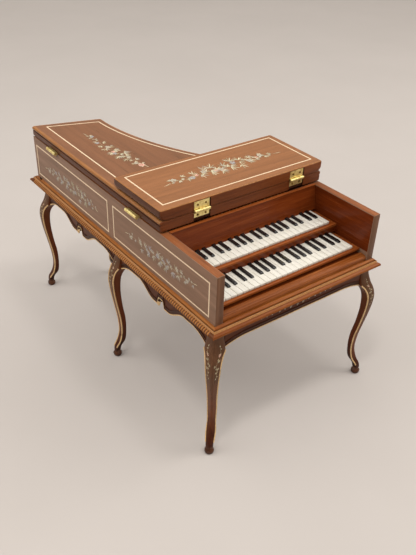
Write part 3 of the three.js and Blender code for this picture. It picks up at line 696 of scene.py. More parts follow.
def make_toe(place, corner, outward):
    """A small carved scroll on the front of the foot."""
    length = math.hypot(*outward)
    heading = Vector((outward[0] / length, outward[1] / length, 0))
    centre = Vector((corner[0], corner[1], 0)) + Vector((*outward, 0)) * FOOT_CENTRE
    line = [
        centre + heading * (TOE_REACH + across) + Vector((0, 0, TOE_Z + up))
        for across, up in spiral(-60, 26, 0.52, 0.024)
    ]
    solid(f"leg_{place}_toe_scroll", wire(line, 0.26, 8), foot_wood)


def spiral(start, turn, radius, shrink, steps=15):
    """(across, up) points of a curl that tightens, from angles in degrees."""
    angles = [math.radians(start + k * turn) for k in range(steps)]
    return [
        ((radius - shrink * k) * math.cos(a), (radius - shrink * k) * math.sin(a))
        for k, a in enumerate(angles)
    ]


def wire(line, radius, sides=6):
    """(points, faces) of a round wire along a line of points."""
    rings = []
    for i, point in enumerate(line):
        ahead = line[min(i + 1, len(line) - 1)] - line[max(i - 1, 0)]
        ahead.normalize()
        side = ahead.cross(Vector((0.03, 0.04, 1)))
        if side.length < 0.1:
            side = ahead.cross(Vector((1, 0, 0)))
        side.normalize()
        up = side.cross(ahead)
        rings.append([point + (side * c + up * s) * radius for c, s in turns(sides)])
    return loft(rings)[:2]


# ---- stand: scalloped aprons ------------------------------------------------------------------

APRON_INSET = 0.3
ARCH_Z, EAR_Z, LOBE_Z, NOTCH_Z, SHALLOW_Z = 51.4, 48.2, 47.1, 50.4, 49.9


def share_of(value, start, end):
    return min(max((value - start) / (end - start), 0), 1)


def scallop(from_middle, half):
    """Lower edge of a long apron: an ear by each leg, an arch, and a notched lobe in the middle."""
    t = abs(from_middle)
    ear = share_of(t, half - 9, half)
    lobe = 0.5 + 0.5 * math.cos(math.pi * share_of(t, 5, 15.5))
    notch = 1 - share_of(t, 0.9, 2.4) ** 2
    edge = ARCH_Z - (ARCH_Z - LOBE_Z) * lobe - (ARCH_Z - EAR_Z) * ear ** 2
    return edge + (NOTCH_Z - LOBE_Z) * notch


def shallow(from_middle, half):
    ear = share_of(abs(from_middle), half - 10, half)
    return SHALLOW_Z - (SHALLOW_Z - EAR_Z) * ear ** 2


def ear_at_start(from_middle, half):
    return shallow(min(from_middle, 0), half)


def ear_at_end(from_middle, half):
    return shallow(max(from_middle, 0), half)


# The edge band of an apron, from the top down: rise above the lower edge, how far it stands proud,
# and which material the face below it takes.
BAND = [
    (2.1, 0.0, 1), (2.0, 0.22, 1), (1.75, 0.3, 1), (1.3, 0.08, 1), (0.8, 0.06, 1), (0.5, 0.26, 2),
    (0.2, 0.3, 2), (0.0, 0.2, 2),
]
APRON_THICKNESS = 2.2
APRON_STEP = 0.3
STEEPEST = 1.7
CURL_X, CURL_Z, CURL_OFF_CENTRE = -0.1, 48.3, 1.1
# Where the two aprons under the bentside end, as shares of its length.
FRONT_END, REAR_START, REAR_END = 0.335, 0.378, 0.93


def make_apron(node, start, end, edge):
    """An apron on a straight run in plan; start to end goes anticlockwise round the case."""
    length = math.dist(start, end)
    steps = round(length / APRON_STEP)
    run = [
        (start[0] + (end[0] - start[0]) * k / steps, start[1] + (end[1] - start[1]) * k / steps)
        for k in range(steps + 1)
    ]
    out = Vector((end[1] - start[1], start[0] - end[0])).normalized()
    lower = [edge(k / steps * length - length / 2, length / 2) for k in range(steps + 1)]
    apron_mesh(node, run, [out] * len(run), lower)


def apron_mesh(node, run, outs, lower):
    top = STAND_UNDER
    rings = []
    count = len(run)
    for i in range(count):
        before, after = lower[max(i - 1, 0)], lower[min(i + 1, count - 1)]
        near = math.dist(run[max(i - 1, 0)], run[min(i + 1, count - 1)])
        stretch = min(math.hypot(1, (after - before) / near), STEEPEST)
        ring = [(-APRON_THICKNESS, top), (0, top)]
        ring += [(proud, lower[i] + rise * stretch) for rise, proud, _ in BAND]
        ring += [(-APRON_THICKNESS, lower[i])]
        x, y = run[i]
        rings.append([(x + outs[i].x * p, y + outs[i].y * p, z) for p, z in ring])

    def shade(_, side):
        return BAND[side - 2][2] if 2 <= side < 2 + len(BAND) - 1 else (1 if side >= 9 else 0)

    points, faces, shades = loft(rings, shade)
    materials = [apron_paint, dark_band_and_shade_wood, gold_line]
    facing_out(piece(f"{node}_scalloped", points, faces, materials, "case", shades, "leg_wood", [node]))


def make_aprons():
    """Each run is drawn on the apron's face, anticlockwise round the case, as its normals need."""
    (x0, _, _), (x1, _, _) = extent("apron_front")
    make_apron("apron_front", (x0, APRON_INSET), (x1, APRON_INSET), shallow)
    cheek_from = extent("apron_cheek")[0][1]
    cheek = [step for step in side_run("cheek") if step[0][1] >= cheek_from]
    outline_apron("apron_cheek", cheek, ear_at_start)
    for node in ("apron_spine_rear", "apron_spine_front"):
        (_, y0, _), (_, y1, _) = extent(node)
        make_apron(node, (APRON_INSET, y1), (APRON_INSET, y0), scallop)
    low, high = extent("apron_tail")
    slope = (TAIL_LEFT_Y - TAIL_RIGHT[1]) / TAIL_RIGHT[0]
    start, end = (high[0], high[1] - slope * (high[0] - low[0])), (low[0], high[1])
    make_apron("apron_tail", start, end, shallow)
    bent_steps = side_run("bentside")
    front_end, rear_start, rear_end = (
        round(share * len(bent_steps)) for share in (FRONT_END, REAR_START, REAR_END)
    )
    outline_apron("apron_bentside_front", bent_steps[:front_end], ear_at_end)
    outline_apron("apron_bentside_rear", bent_steps[rear_start:rear_end], shallow)
    for node in ("apron_spine_rear", "apron_spine_front"):
        make_notch_leaf(node)


def outline_apron(node, run, edge):
    """An apron that follows a run of the case's outline."""
    points = [(x - out.x * APRON_INSET, y - out.y * APRON_INSET) for (x, y), out in run]
    half = (len(run) - 1) * STEP / 2
    lower = [edge(k * STEP - half, half) for k in range(len(run))]
    apron_mesh(node, points, [out for _, out in run], lower)


def make_notch_leaf(node):
    """A small gilt curl that hooks into the notch of a long apron, with one leaf beside it."""
    (_, y0, _), (_, y1, _) = extent(node)
    middle = (y0 + y1) / 2 + CURL_OFF_CENTRE
    line = [
        Vector((CURL_X, middle + across, CURL_Z + up)) for across, up in spiral(-40, -27, 0.95, 0.05)
    ]
    leaf = leaf_solid(Vector((CURL_X, middle - 0.7, CURL_Z - 0.1)), math.radians(-25), 1.9, 0.34)
    solid(f"{node}_notch_leaf", gather([wire(line, 0.27, 8), leaf]), gold_line)


def leaf_solid(root, turn, length, half_width):
    """A plump leaf on the spine side, growing up from its root and leaning by turn."""
    along = Vector((0, math.sin(turn), math.cos(turn)))
    across = Vector((0, math.cos(turn), -math.sin(turn)))
    rings = []
    for k in range(9):
        t = k / 8
        width = half_width * math.sin(math.pi * (0.06 + 0.88 * t)) ** 0.8
        centre = root + along * length * t
        rings.append([
            centre + across * width * c + Vector((width * 0.7 * s, 0, 0)) for c, s in turns(8)
        ])
    return loft(rings)[:2]


# ---- case -------------------------------------------------------------------------------------

def make_case():
    wall = [
        (-WALL, CASE_BOTTOM), (-0.1, CASE_BOTTOM), (0, CASE_BOTTOM + 0.1), (0, CASE_TOP - 0.15),
        (-0.15, CASE_TOP), (0.15 - WALL, CASE_TOP), (-WALL, CASE_TOP - 0.15),
    ]
    rings = sweep(side_run("bentside"), wall)
    points, faces, shades = loft(rings, lambda _, k: 0 if k in (1, 2) else 1)
    facing_out(piece("case_bentside_board", points, faces, [bent_paint, cheek_wood], "case", shades,
                     "side_wood", ["case_bentside"]))
    ease_node("case_spine", spine_paint, 0.18)
    ease_node("case_cheek", bent_paint, 0.18)
    ease_node("case_tail", bent_paint, 0.15)
    ease_node("case_bottom", inner_wood, 0.1)
    face_case_edges()


def face_case_edges():
    """Thin facings: inside the key well, on the top edges, and on the front ends of both sides."""
    inside = CASE_WIDTH - WALL
    bed_top = extent("lower_key_bed")[1][2]
    back = extent("nameboard")[0][1]
    for name, x in (("cheek", (inside - 0.04, inside)), ("spine", (WALL, WALL + 0.04))):
        part = block(x, (0.25, back + 1.8), (bed_top + 0.02, CASE_TOP - 0.25), 0.015)
        solid(f"key_well_{name}_facing", part, inner_wood_deep)
    for side, across, back in (
        ("spine", (0.16, WALL - 0.12), TAIL_LEFT_Y - 1),
        ("cheek", (inside + 0.12, CASE_WIDTH - 0.16), CHEEK_LENGTH),
    ):
        part = block(across, (0.16, back), (CASE_TOP, CASE_TOP + 0.03), 0.012)
        solid(f"{side}_top_edge", part, cheek_wood)
    for side, left in (("spine", 0), ("cheek", inside)):
        across = (left + 0.12, left + WALL - 0.12)
        part = block(across, (-0.03, 0), (CASE_BOTTOM + 0.1, CASE_TOP - 0.15), 0.012)
        solid(f"{side}_front_facing", part, post_wood)


# ---- keyboards --------------------------------------------------------------------------------

NATURALS = 25
NATURAL_PITCH = 2.64
KEYS_LEFT = (CASE_WIDTH - NATURALS * NATURAL_PITCH) / 2
SHARP_WIDTH = 1.5
KEY_GAP = 0.09
OCTAVE_SHARPS = [(1, -0.5), (2, 0), (3, 0.45), (5, -0.35), (6, 0.2)]


def sharp_centres():
    for octave in range(4):
        for step, shift in OCTAVE_SHARPS:
            line = octave * 7 + step + 1
            if line < NATURALS:
                yield KEYS_LEFT + line * NATURAL_PITCH + shift


def sharp_block(centre, front, back, bottom, top):
    """(points, faces) of a black key: sloped front, rounded top edges, slightly hollow sides."""
    half = SHARP_WIDTH / 2
    stations = [
        (front, bottom + 0.1, 0.94), (front + 0.08, bottom + 0.3, 0.95),
        (front + 0.25, top - 0.14, 0.94), (front + 0.45, top - 0.03, 0.93),
        (front + 0.7, top, 0.93), (back, top, 0.93),
    ]
    rings = []
    for y, crown, share in stations:
        narrow = half * share
        rings.append([
            (centre - half, y, bottom), (centre - half * 0.99, y, bottom + (crown - bottom) * 0.5),
            (centre - narrow, y, crown - 0.16), (centre - narrow + 0.13, y, crown),
            (centre + narrow - 0.13, y, crown), (centre + narrow, y, crown - 0.16),
            (centre + half * 0.99, y, bottom + (crown - bottom) * 0.5), (centre + half, y, bottom),
        ])
    return loft(rings)[:2]


def make_manual(manual):
    (_, front, bottom), (_, back, top) = extent(f"{manual}_naturals")
    parts = []
    for k in range(NATURALS):
        left = KEYS_LEFT + k * NATURAL_PITCH
        parts.append(block(
            (left + KEY_GAP, left + NATURAL_PITCH - KEY_GAP), (front, back), (bottom, top), 0.11,
        ))
    stands_for = [f"{manual}_naturals"]
    solid(f"{manual}_natural_keys", gather(parts), natural_cover, "case", "natural_key", stands_for)
    (_, front, bottom), (_, back, top) = extent(f"{manual}_sharps")
    part = gather([sharp_block(x, front, back, bottom, top) for x in sharp_centres()])
    solid(f"{manual}_sharp_keys", part, sharp_cover, "case", "sharp_key", [f"{manual}_sharps"])


def make_keyboards():
    for manual in ("lower", "upper"):
        make_manual(manual)
    ease_node("front_sill", moulding_x, 0.1)
    for manual in ("lower", "upper"):
        ease_node(f"{manual}_key_bed", board_wood, 0.2)
    ease_node("key_frame", inner_wood, 0.1)
    for node in ("upper_manual_fascia", "nameboard"):
        ease_node(node, inner_wood, 0.05)
    (x0, _, _), (x1, y1, top) = extent("nameboard")
    part = block((x0, x1), (y1 - 1.55, y1), (top, top + 0.28), 0.1)
    solid("nameboard_capping", part, board_wood)


# ---- inside the case --------------------------------------------------------------------------

STRING_SPACING = 1.8
STRING_RADIUS = 0.06
FIRST_STRING_X, LAST_STRING_X = 8.0, 67
PIN_ROW_Y, PIN_ROW_GAP = 36, 2.2
FIRST_JACK_X = 8.9
ROSE_CENTRE, ROSE_RADIUS = (17, 74), 4.2
FINE_BENTSIDE = [bent_curve(k / 300) for k in range(301)]


def bentside_y(x):
    """Where a line at x meets the bentside, or the tail beyond it."""
    if x < TAIL_RIGHT[0] - WALL:
        return TAIL_LEFT_Y - (TAIL_LEFT_Y - TAIL_RIGHT[1]) * x / TAIL_RIGHT[0]
    return min(FINE_BENTSIDE, key=lambda p: abs(p[0] - x - WALL))[1]


def make_strings():
    height = extent("nut")[1][2] + 0.03
    pins, strings = [], []
    x = FIRST_STRING_X
    row = 0
    while x < LAST_STRING_X:
        y = PIN_ROW_Y + row * PIN_ROW_GAP
        pins.append(tuning_pin(x, y, height))
        end = max(bentside_y(x) - 5.5, y + 6)
        line = [Vector((x, along, height)) for along in (y, y + 3, end)]
        strings.append(wire(line, STRING_RADIUS, 5))
        x += STRING_SPACING
        row = 1 - row
    solid("strings", gather(strings), steel, "case", "brass")
    solid("tuning_pins", gather(pins), steel, "case", "brass")


def tuning_pin(x, y, string_height):
    """A round pin with a flattened head, a coil of wire and a slight swell."""
    bottom = extent("wrestplank")[0][2] + 4.4
    top = string_height + 1.35
    rings = []
    for z, wide, flat in ((bottom, 0.38, 0.38), (top - 1.5, 0.38, 0.38), (top - 1.3, 0.46, 0.46),
                          (top - 0.9, 0.46, 0.46), (top - 0.8, 0.38, 0.38), (top - 0.5, 0.4, 0.38),
                          (top - 0.15, 0.44, 0.36), (top, 0.36, 0.3)):
        rings.append([(x + wide * c, y + flat * s, z) for c, s in turns(12)])
    return loft(rings)[:2]


def make_jacks():
    (_, y0, under), (_, y1, _) = extent("jack_rail")
    floor = extent("wrestplank")[1][2]
    slips = []
    x = FIRST_JACK_X
    while x < bent_limit((y0 + y1) / 2) - 2:
        for half, front, back, room in ((0.55, 0.9, 1.5, 0.5), (0.45, 1.7, 2.3, 0.8)):
            across, height = (x - half, x + half), (floor - 3, under - room)
            slips.append(block(across, (y0 + front, y0 + back), height, 0.08))
        x += STRING_SPACING
    solid("jacks", gather(slips), spruce, "case", "inner_wood")
    across, height = (WALL + 1, bent_limit(y1) - 1.5), (under - 0.45, under - 0.02)
    solid("jack_rail_felt", block(across, (y0 + 0.6, y1 - 0.6), height, 0.1), felt)


def bent_limit(y):
    """The inner face of the case's right side at y."""
    if y < CHEEK_LENGTH:
        return CASE_WIDTH - WALL
    return min(FINE_BENTSIDE, key=lambda p: abs(p[1] - y))[0] - WALL * 1.4


def make_rose(centre, radius):
    """A gilt sound-hole rose: rings joined by pierced petals."""
    top = extent("soundboard")[1][2] + 0.12
    parts = []
    for share, thick in ((1, 0.3), (0.68, 0.16), (0.22, 0.22)):
        reach = radius * share
        circle = [
            Vector((centre[0] + reach * math.cos(a), centre[1] + reach * math.sin(a), top))
            for a in (2 * math.pi * k / 48 for k in range(49))
        ]
        parts.append(wire(circle, thick, 8))
    for k in range(12):
        turn = 2 * math.pi * k / 12
        petal = []
        for s in range(17):
            t = s / 16
            swing = 0.2 * math.sin(2 * math.pi * t)
            reach = radius * (0.22 + 0.78 * math.sin(math.pi * t))
            heading = turn + swing
            petal.append(Vector((
                centre[0] + reach * math.cos(heading), centre[1] + reach * math.sin(heading), top,
            )))
        parts.append(wire(petal, 0.12, 6))
    solid("soundboard_rose", gather(parts), gilt, "case", "brass")


def make_inside():
    ease_node("wrestplank", inner_wood, 0.05)
    ease_node("nut", cheek_wood, 0.2)
    ease_node("jack_rail", board_wood, 0.3)
    ease_node("belly_rail", inner_wood, 0.1)
    ease_node("soundboard", spruce, 0.05)
    ease_node("bridge", cheek_wood, 0.15)
    make_strings()
    make_jacks()
    make_rose(ROSE_CENTRE, ROSE_RADIUS)


# ---- lid and flap -----------------------------------------------------------------------------

MORTISE_DEPTH = 0.75
MORTISE_PLAY = 0.6
MORTISE_REACH = 4.5
CORNER_RADIUS = 1.1
PAINT_ROOM = 0.1


def slab_rings(plan, profile):
    """Rings of a board whose front edge stays put; the profile is (offset, z, front inset)."""
    outs = bisectors(plan)
    rings = []
    for offset, z, inset in profile:
        ring = []
        for i, ((x, y), out) in enumerate(zip(plan, outs)):
            new_y = LID_FRONT + inset if i < 2 else y + out.y * offset
            ring.append((x + out.x * offset, new_y, z))
        rings.append(round_corners(ring))
    return rings


def round_corners(ring):
    """Rounds each sharp corner of a level ring."""
    rounded = []
    for i, corner in enumerate(ring):
        here = Vector(corner)
        before, after = Vector(ring[i - 1]) - here, Vector(ring[(i + 1) % len(ring)]) - here
        if before.angle(after) > math.radians(150):
            rounded.append(corner)
            continue
        start = here + before.normalized() * CORNER_RADIUS
        end = here + after.normalized() * CORNER_RADIUS
        for k in range(7):
            t = k / 6
            rounded.append(tuple(start * (1 - t) ** 2 + here * 2 * t * (1 - t) + end * t ** 2))
    return rounded


def lid_profile():
    """From the underside up: a plain band, a fine quirk, and a rounded bead at the top."""
    under, top, edge = LID_UNDER, LID_TOP - PAINT_ROOM, OVERHANG
    band = [(edge - 0.35, under, 0.15), (edge - 0.15, under + 0.2, 0), (edge - 0.15, top - 2.0, 0)]
    quirk = [(edge - 0.45, top - 1.92, 0), (edge - 0.45, top - 1.74, 0)]
    bead = [(x, z, 0.0) for x, z in arc((edge - 1.0, top - 0.9), (1.0, 0.9), -45, 80, 9)]
    return band + quirk + bead + [(edge - 1.1, top, 0.12)]


def flap_profile():
    """From the underside up: a broad rounding, a plain band and a rounded top edge."""
    under, top, edge = FLAP_UNDER, FLAP_TOP - PAINT_ROOM, OVERHANG
    rounding = [(x, z, 0.0) for x, z in arc((edge - 2.5, under + 1.75), (2.5, 1.75), -88, 0, 9)]
    first = (edge - 2.6, under, 0.12)
    eased = [(edge - 0.5 + x, z, 0.5 - x) for x, z in arc((0, top - 0.5), 0.5, 0, 90, 5)]
    return [first] + rounding + eased


def make_slab(node, body, plan, profile, materials, shade_of, slot, bottom, top):
    """shade_of(ring, start, end) gives the material of the face above an edge of a ring."""
    rings = slab_rings(plan, profile)

    def shade(ring, side):
        return shade_of(ring, rings[ring][side], rings[ring][(side + 1) % len(rings[ring])])

    points, faces, shades = loft(rings, shade, cap_shade=0)
    # The underside takes the darker side wood as painted shade.
    shades[0] = 2
    # The darker wood added last is painted shade for the walls of the hinge mortises.
    materials = [*materials, dark_band_and_shade_wood]
    made = facing_out(piece(f"{node}_board", points, faces, materials, body, shades, slot, [node]))
    cutters = [hinge_mortise(x, bottom, top) for x in hinge_centres()]
    carve(made, cutters)
    paint_shade_in_mortises(made, len(materials) - 1)


def paint_shade_in_mortises(made, shade):
    """Paints shade on the cut walls behind the hinge leaves: they take the darker wood as painted shade."""
    for face in made.data.polygons:
        x, y, _ = (face.center - CORNER) / MM
        if face.normal.y > 0.9 or not LID_FRONT + 0.03 < y < LID_FRONT + MORTISE_DEPTH + 0.01:
            continue
        if any(abs(x - centre) < MORTISE_REACH for centre in hinge_centres()) and abs(face.normal.z) < 0.5:
            face.material_index = shade


def hinge_centres():
    for side in ("left", "right"):
        (x0, _, _), (x1, _, _) = extent(f"flap_hinge_{side}_flap_leaf")
        yield (x0 + x1) / 2


def hinge_mortise(x, bottom, top):
    (x0, _, _), (x1, _, _) = extent("flap_hinge_left_flap_leaf")
    half = (x1 - x0) / 2
    across, depth = (x - half - 0.15, x + half + MORTISE_PLAY), (LID_FRONT - 3, LID_FRONT + MORTISE_DEPTH)
    points, faces = block(across, depth, (bottom, top), 0.01)
    mesh = bpy.data.meshes.new("mortise")
    mesh.from_pydata([to_row(*p) for p in points], [], faces)
    made = bpy.data.objects.new("mortise", mesh)
    bpy.context.collection.objects.link(made)
    return facing_out(made)


COARSE_BENTSIDE = [(CASE_WIDTH, LID_FRONT + 2), *(bent_curve(k / 90) for k in range(90))]
# The ring where the lid's bead turns upward; from here up its faces take the lighter wood as painted
# highlight.
HIGHLIGHT_FROM = 8
SLAB_WOODS = [lid_edge_highlight_wood, lid_side_shade_wood, flap_side_shade_wood]


def make_lid():
    plan = [(0, LID_FRONT), (CASE_WIDTH, LID_FRONT), *COARSE_BENTSIDE, TAIL_RIGHT, (0, TAIL_LEFT_Y)]

    def shade(ring, start, end):
        # Painted light: the front face and the sides below the bead's upper half take darker woods as
        # painted shade; the bead's upper half takes the lighter wood as painted highlight.
        if max(start[1], end[1]) < LID_FRONT + CORNER_RADIUS / 2:
            return 3
        return 1 if ring >= HIGHLIGHT_FROM else 2

    make_slab("lid", "lid", plan, lid_profile(), [lid_panel_wood, *SLAB_WOODS], shade, "top_wood",
              LID_UNDER - 2, LID_TOP + 2)
    for place in ("front", "rear"):
        for leaf in ("case_leaf", "lid_leaf", "pin"):
            ease_node(f"spine_hinge_{place}_{leaf}", brass, 0.06)


def make_flap():
    back = FLAP_BACK - OVERHANG
    plan = [(0, LID_FRONT), (CASE_WIDTH, LID_FRONT), (CASE_WIDTH, back), (0, back)]
    profile = flap_profile()

    def shade(ring, start, end):
        # Painted light: the eased top edge takes the lighter wood as painted highlight; the front, back and
        # side faces below take darker woods as painted shade.
        if ring > len(profile) - 5:
            return 1
        return 3 if abs(end[0] - start[0]) > abs(end[1] - start[1]) else 2

    make_slab("flap", "flap", plan, profile, [flap_panel_wood, *SLAB_WOODS], shade, "top_wood",
              FLAP_UNDER - 2, FLAP_TOP - 0.5)
    for side in ("left", "right"):
        for leaf in ("flap_leaf", "lid_leaf", "pin"):
            ease_node(f"flap_hinge_{side}_{leaf}", brass, 0.06)
        make_screws(side)


def make_screws(side):
    """Two countersunk slotted screws in each leaf of a flap hinge."""
    for leaf, body in (("flap_leaf", "flap"), ("lid_leaf", "lid")):
        (x0, _, z0), (x1, _, z1) = extent(f"flap_hinge_{side}_{leaf}")
        seam = (LID_TOP + FLAP_UNDER) / 2
        low, high = (seam + 0.9, z1) if leaf == "flap_leaf" else (z0, seam - 0.9)
        middle = (low + high) / 2
        part = gather([screw_head(x, LID_FRONT, middle, 0.5) for x in (x0 + 1.6, x1 - 1.6)])
        solid(f"flap_hinge_{side}_{leaf}_screws", part, screw_shade_brass, body, "brass")


def screw_head(x, face, z, radius):
    """(points, faces) of a shallow domed head with a slot across it."""
    rings = []
    for share, proud in ((1, -0.2), (1, 0.02), (0.9, 0.1), (0.6, 0.15), (0.25, 0.17)):
        ring = []
        for k in range(20):
            angle = 2 * math.pi * k / 20
            slot = 0.14 if abs(math.sin(angle - 0.7)) * share < 0.22 and share < 1 else 0
            reach = radius * share
            ring.append((x + reach * math.cos(angle), face - proud + slot, z + reach * math.sin(angle)))
        rings.append(ring)
    return loft(rings)[:2]


# ---- inlaid lines -----------------------------------------------------------------------------

LINE_WIDTH = 0.55
PROUD, SUNK = 0.03, -0.06
TAIL_PROUD = 0.06  # the tail's face stands a hair outside the line through the corners
LINE_INSET, LINE_LEFT, LINE_BACK, LINE_TURNS_AT = 2.7, 5.0, 135.7, 131
PANEL_LOW, PANEL_HIGH = 61.8, 75.9


def top_face(height):
    """Places (u, v) on a level face at the given height."""
    return lambda u, v, lift: (u, v, height + lift)


def spine_face(u, v, lift):
    return (-lift, u, v)


def inlay(name, line, face, body="case"):
    """A flat closed line of inlay through (u, v) points, with mitred corners."""
    rings = []
    for i, point in enumerate(line):
        here, before, after = Vector(point), Vector(line[i - 1]), Vector(line[(i + 1) % len(line)])
        normals = [Vector((-d.y, d.x)) for d in ((here - before).normalized(), (after - here).normalized())]
        across = (normals[0] + normals[1]) / (1 + normals[0].dot(normals[1])) * LINE_WIDTH / 2
        left, right = here + across, here - across
        rings.append([face(*left, SUNK), face(*left, PROUD), face(*right, PROUD), face(*right, SUNK)])
    rings.append(rings[0])
    points, faces, _ = loft(rings)
    solid(name, (points, faces[1:-1]), stringing, body, "natural_key")


SPINE_PANELS = {"front": (3.9, 68.0, 61.6, 75.5), "rear": (72.6, 138.0, PANEL_LOW, PANEL_HIGH)}


def panel(start, end, low=PANEL_LOW, high=PANEL_HIGH):
    return [(start, low), (end, low), (end, high), (start, high)]


def make_lines():
    for place, corners in SPINE_PANELS.items():
        inlay(f"spine_{place}_panel_line", panel(*corners), spine_face)
    inlay("flap_line", panel(3.4, 75.3, 37.0, 63.26), top_face(FLAP_TOP - PAINT_ROOM), "flap")
    inlay("lid_line", lid_line(), top_face(LID_TOP - PAINT_ROOM), "lid")
    make_blind_side_lines()


def lid_line():
    """A closed loop a little inside the lid's edges, its front part hidden under the flap."""
    front = LID_FRONT + LINE_INSET
    right = [
        (x - out.x * LINE_INSET, y - out.y * LINE_INSET) for (x, y), out in side_run("bentside")[::12]
    ]
    behind = [p for p in reversed(right) if front + 1 < p[1] < LINE_TURNS_AT]
    return [(LINE_LEFT, front), (LINE_LEFT, LINE_BACK), *behind, (behind[-1][0], front)]


def make_blind_side_lines():
    """The sides away from the player's left carry one plain panel line each."""
    run = side_run("bentside")[16:-16]

    def bent_face(u, v, lift):
        (x, y), out = run[min(max(round(u / STEP), 0), len(run) - 1)]
        return (x + out.x * lift, y + out.y * lift, v)

    length = (len(run) - 1) * STEP
    along = [k * 1.2 for k in range(int(length / 1.2))]
    corners = [(u, PANEL_LOW) for u in along] + [(u, PANEL_HIGH) for u in reversed(along)]
    inlay("bentside_panel_line", corners, bent_face)

    def cheek_face(u, v, lift):
        return (CASE_WIDTH + lift, u, v)

    inlay("cheek_panel_line", panel(3.9, 36.5), cheek_face)
    slope = (TAIL_LEFT_Y - TAIL_RIGHT[1]) / TAIL_RIGHT[0]
    out = Vector((slope, 1)).normalized()

    def tail_face(u, v, lift):
        proud = lift + TAIL_PROUD
        return (u + out.x * proud, TAIL_LEFT_Y - slope * u + out.y * proud, v)

    inlay("tail_panel_line", panel(3.6, 27.2), tail_face)


# ---- painted flowers --------------------------------------------------------------------------

class Brush:
    """Collects thin painted shapes on one face of the instrument."""

    def __init__(self, face, seed):
        self.face = face
        self.random = random.Random(seed)
        self.points, self.faces, self.shades = [], [], []
        self.lift = 0.02

    def shape(self, outline, material):
        """Later shapes lie a hair above the ones just before them."""
        start = len(self.points)
        lift = self.lift + 0.0005 * (len(self.faces) % 120)
        self.points.extend(self.face(u, v, lift) for u, v in outline)
        self.faces.append(list(range(start, len(self.points))))
        self.shades.append(PETALS.index(material))

    def stroke(self, start, angle, length, width, material, curl=0.0):
        """A brush stroke that swells in its middle and ends in a point."""
        spine, half = [], []
        position = Vector(start)
        for k in range(7):
            t = k / 6
            spine.append(position.copy())
            half.append(width / 2 * math.sin(math.pi * (0.1 + 0.86 * t)) ** 0.8)
            heading = angle + curl * t
            position += Vector((math.cos(heading), math.sin(heading))) * length / 6
        left, right = [], []
        for k, (centre, reach) in enumerate(zip(spine, half)):
            heading = angle + curl * k / 6
            side = Vector((-math.sin(heading), math.cos(heading))) * reach
            left.append(centre + side)
            right.append(centre - side)
        self.shape(left + right[::-1], material)
        return spine[-1]

    def flower(self, centre, radius, petal, heart):
        turn = self.random.uniform(0, math.pi)
        for k in range(5):
            self.stroke(centre, turn + 2 * math.pi * k / 5, radius, radius * 0.7, petal)
        self.disc(centre, radius * 0.22, heart)

    def rose(self, centre, radius):
        """Loose outer petals, then tighter ones, round a deep heart."""
        for share, count, material in ((1, 6, ROSE_LIGHT), (0.7, 5, ROSE), (0.42, 4, ROSE_LIGHT)):
            turn = self.random.uniform(0, math.pi)
            for k in range(count):
                angle = turn + 2 * math.pi * k / count
                start = Vector(centre) + Vector((math.cos(angle), math.sin(angle))) * radius * share * 0.5
                self.stroke(start, angle + 1.2, radius * share, radius * share * 0.5, material, 0.9)
        self.disc(centre, radius * 0.2, ROSE)

    def disc(self, centre, radius, material):
        self.shape([
            (centre[0] + radius * math.cos(a), centre[1] + radius * math.sin(a))
            for a in (2 * math.pi * k / 10 for k in range(10))
        ], material)

    def tuft(self, root, angle, size, tones):
        """Narrow leaves that fan out from one point, the middle one longest."""
        pick = self.random
        count = pick.choice((5, 6, 6, 7))
        for k in range(count):
            share = k / (count - 1) - 0.5
            length = size * (1 - 0.5 * abs(share)) * pick.uniform(0.75, 1.1)
            heading = angle + share * 2.5 + pick.uniform(-0.15, 0.15)
            self.stroke(root, heading, length * 1.12, 0.18 + 0.07 * size, pick.choice(tones), -share * 0.4)

    def spray(self, line, size, gap, tones=None, roses=(), blooms=True):
        """A fine stem through (u, v) points, with tufts on alternate sides, smaller at its ends."""
        tones = tones or [LEAF_PALE, LEAF_GREEN, LEAF_PALE, STEM, LEAF_DULL]
        pick = self.random
        path = catmull(line, 10)
        for a, b in zip(path, path[1:]):
            self.stroke(a, math.atan2(b.y - a.y, b.x - a.x), (b - a).length * 1.25, 0.14, STEM)
        travelled, side, done = 0.0, 1, 0
        for a, b in zip(path, path[1:]):
            travelled += (b - a).length
            if travelled < gap * (done + 0.5):
                continue
            done += 1
            heading = math.atan2(b.y - a.y, b.x - a.x)
            fullness = math.sin(math.pi * min(max(path.index(a) / len(path), 0.1), 0.9)) ** 0.7
            angle = heading + side * pick.uniform(0.7, 1.3)
            reach = size * pick.uniform(0.35, 0.95) * fullness
            root = self.stroke(a, angle, reach, 0.14, STEM)
            self.tuft(root, angle, size * fullness * pick.uniform(0.75, 1.05), tones)
            if pick.random() < 0.8:
                self.tuft(a, heading - side * pick.uniform(0.6, 1.2), size * fullness * 0.65, tones)
            if blooms and done % 3 == 2:
                spot = a - Vector((math.cos(angle), math.sin(angle))) * size * 0.35
                self.flower(spot, size * 0.36, pick.choice([BLUE, BLUE, LEAF_DULL]), STEM)
            side = -side
        for centre, radius in roses:
            self.rose(centre, radius)
        for end, back in ((path[-1], path[-2]), (path[0], path[1])):
            heading = math.atan2(end.y - back.y, end.x - back.x)
            self.stroke(end, heading, size * 0.9, 0.26, LEAF_PALE)

    def finish(self, name, body):
        return piece(name, self.points, self.faces, PETALS, body, self.shades)


DULL_TONES = [LEAF_DULL, LEAF_DULL, LEAF_GREEN, BLUE]
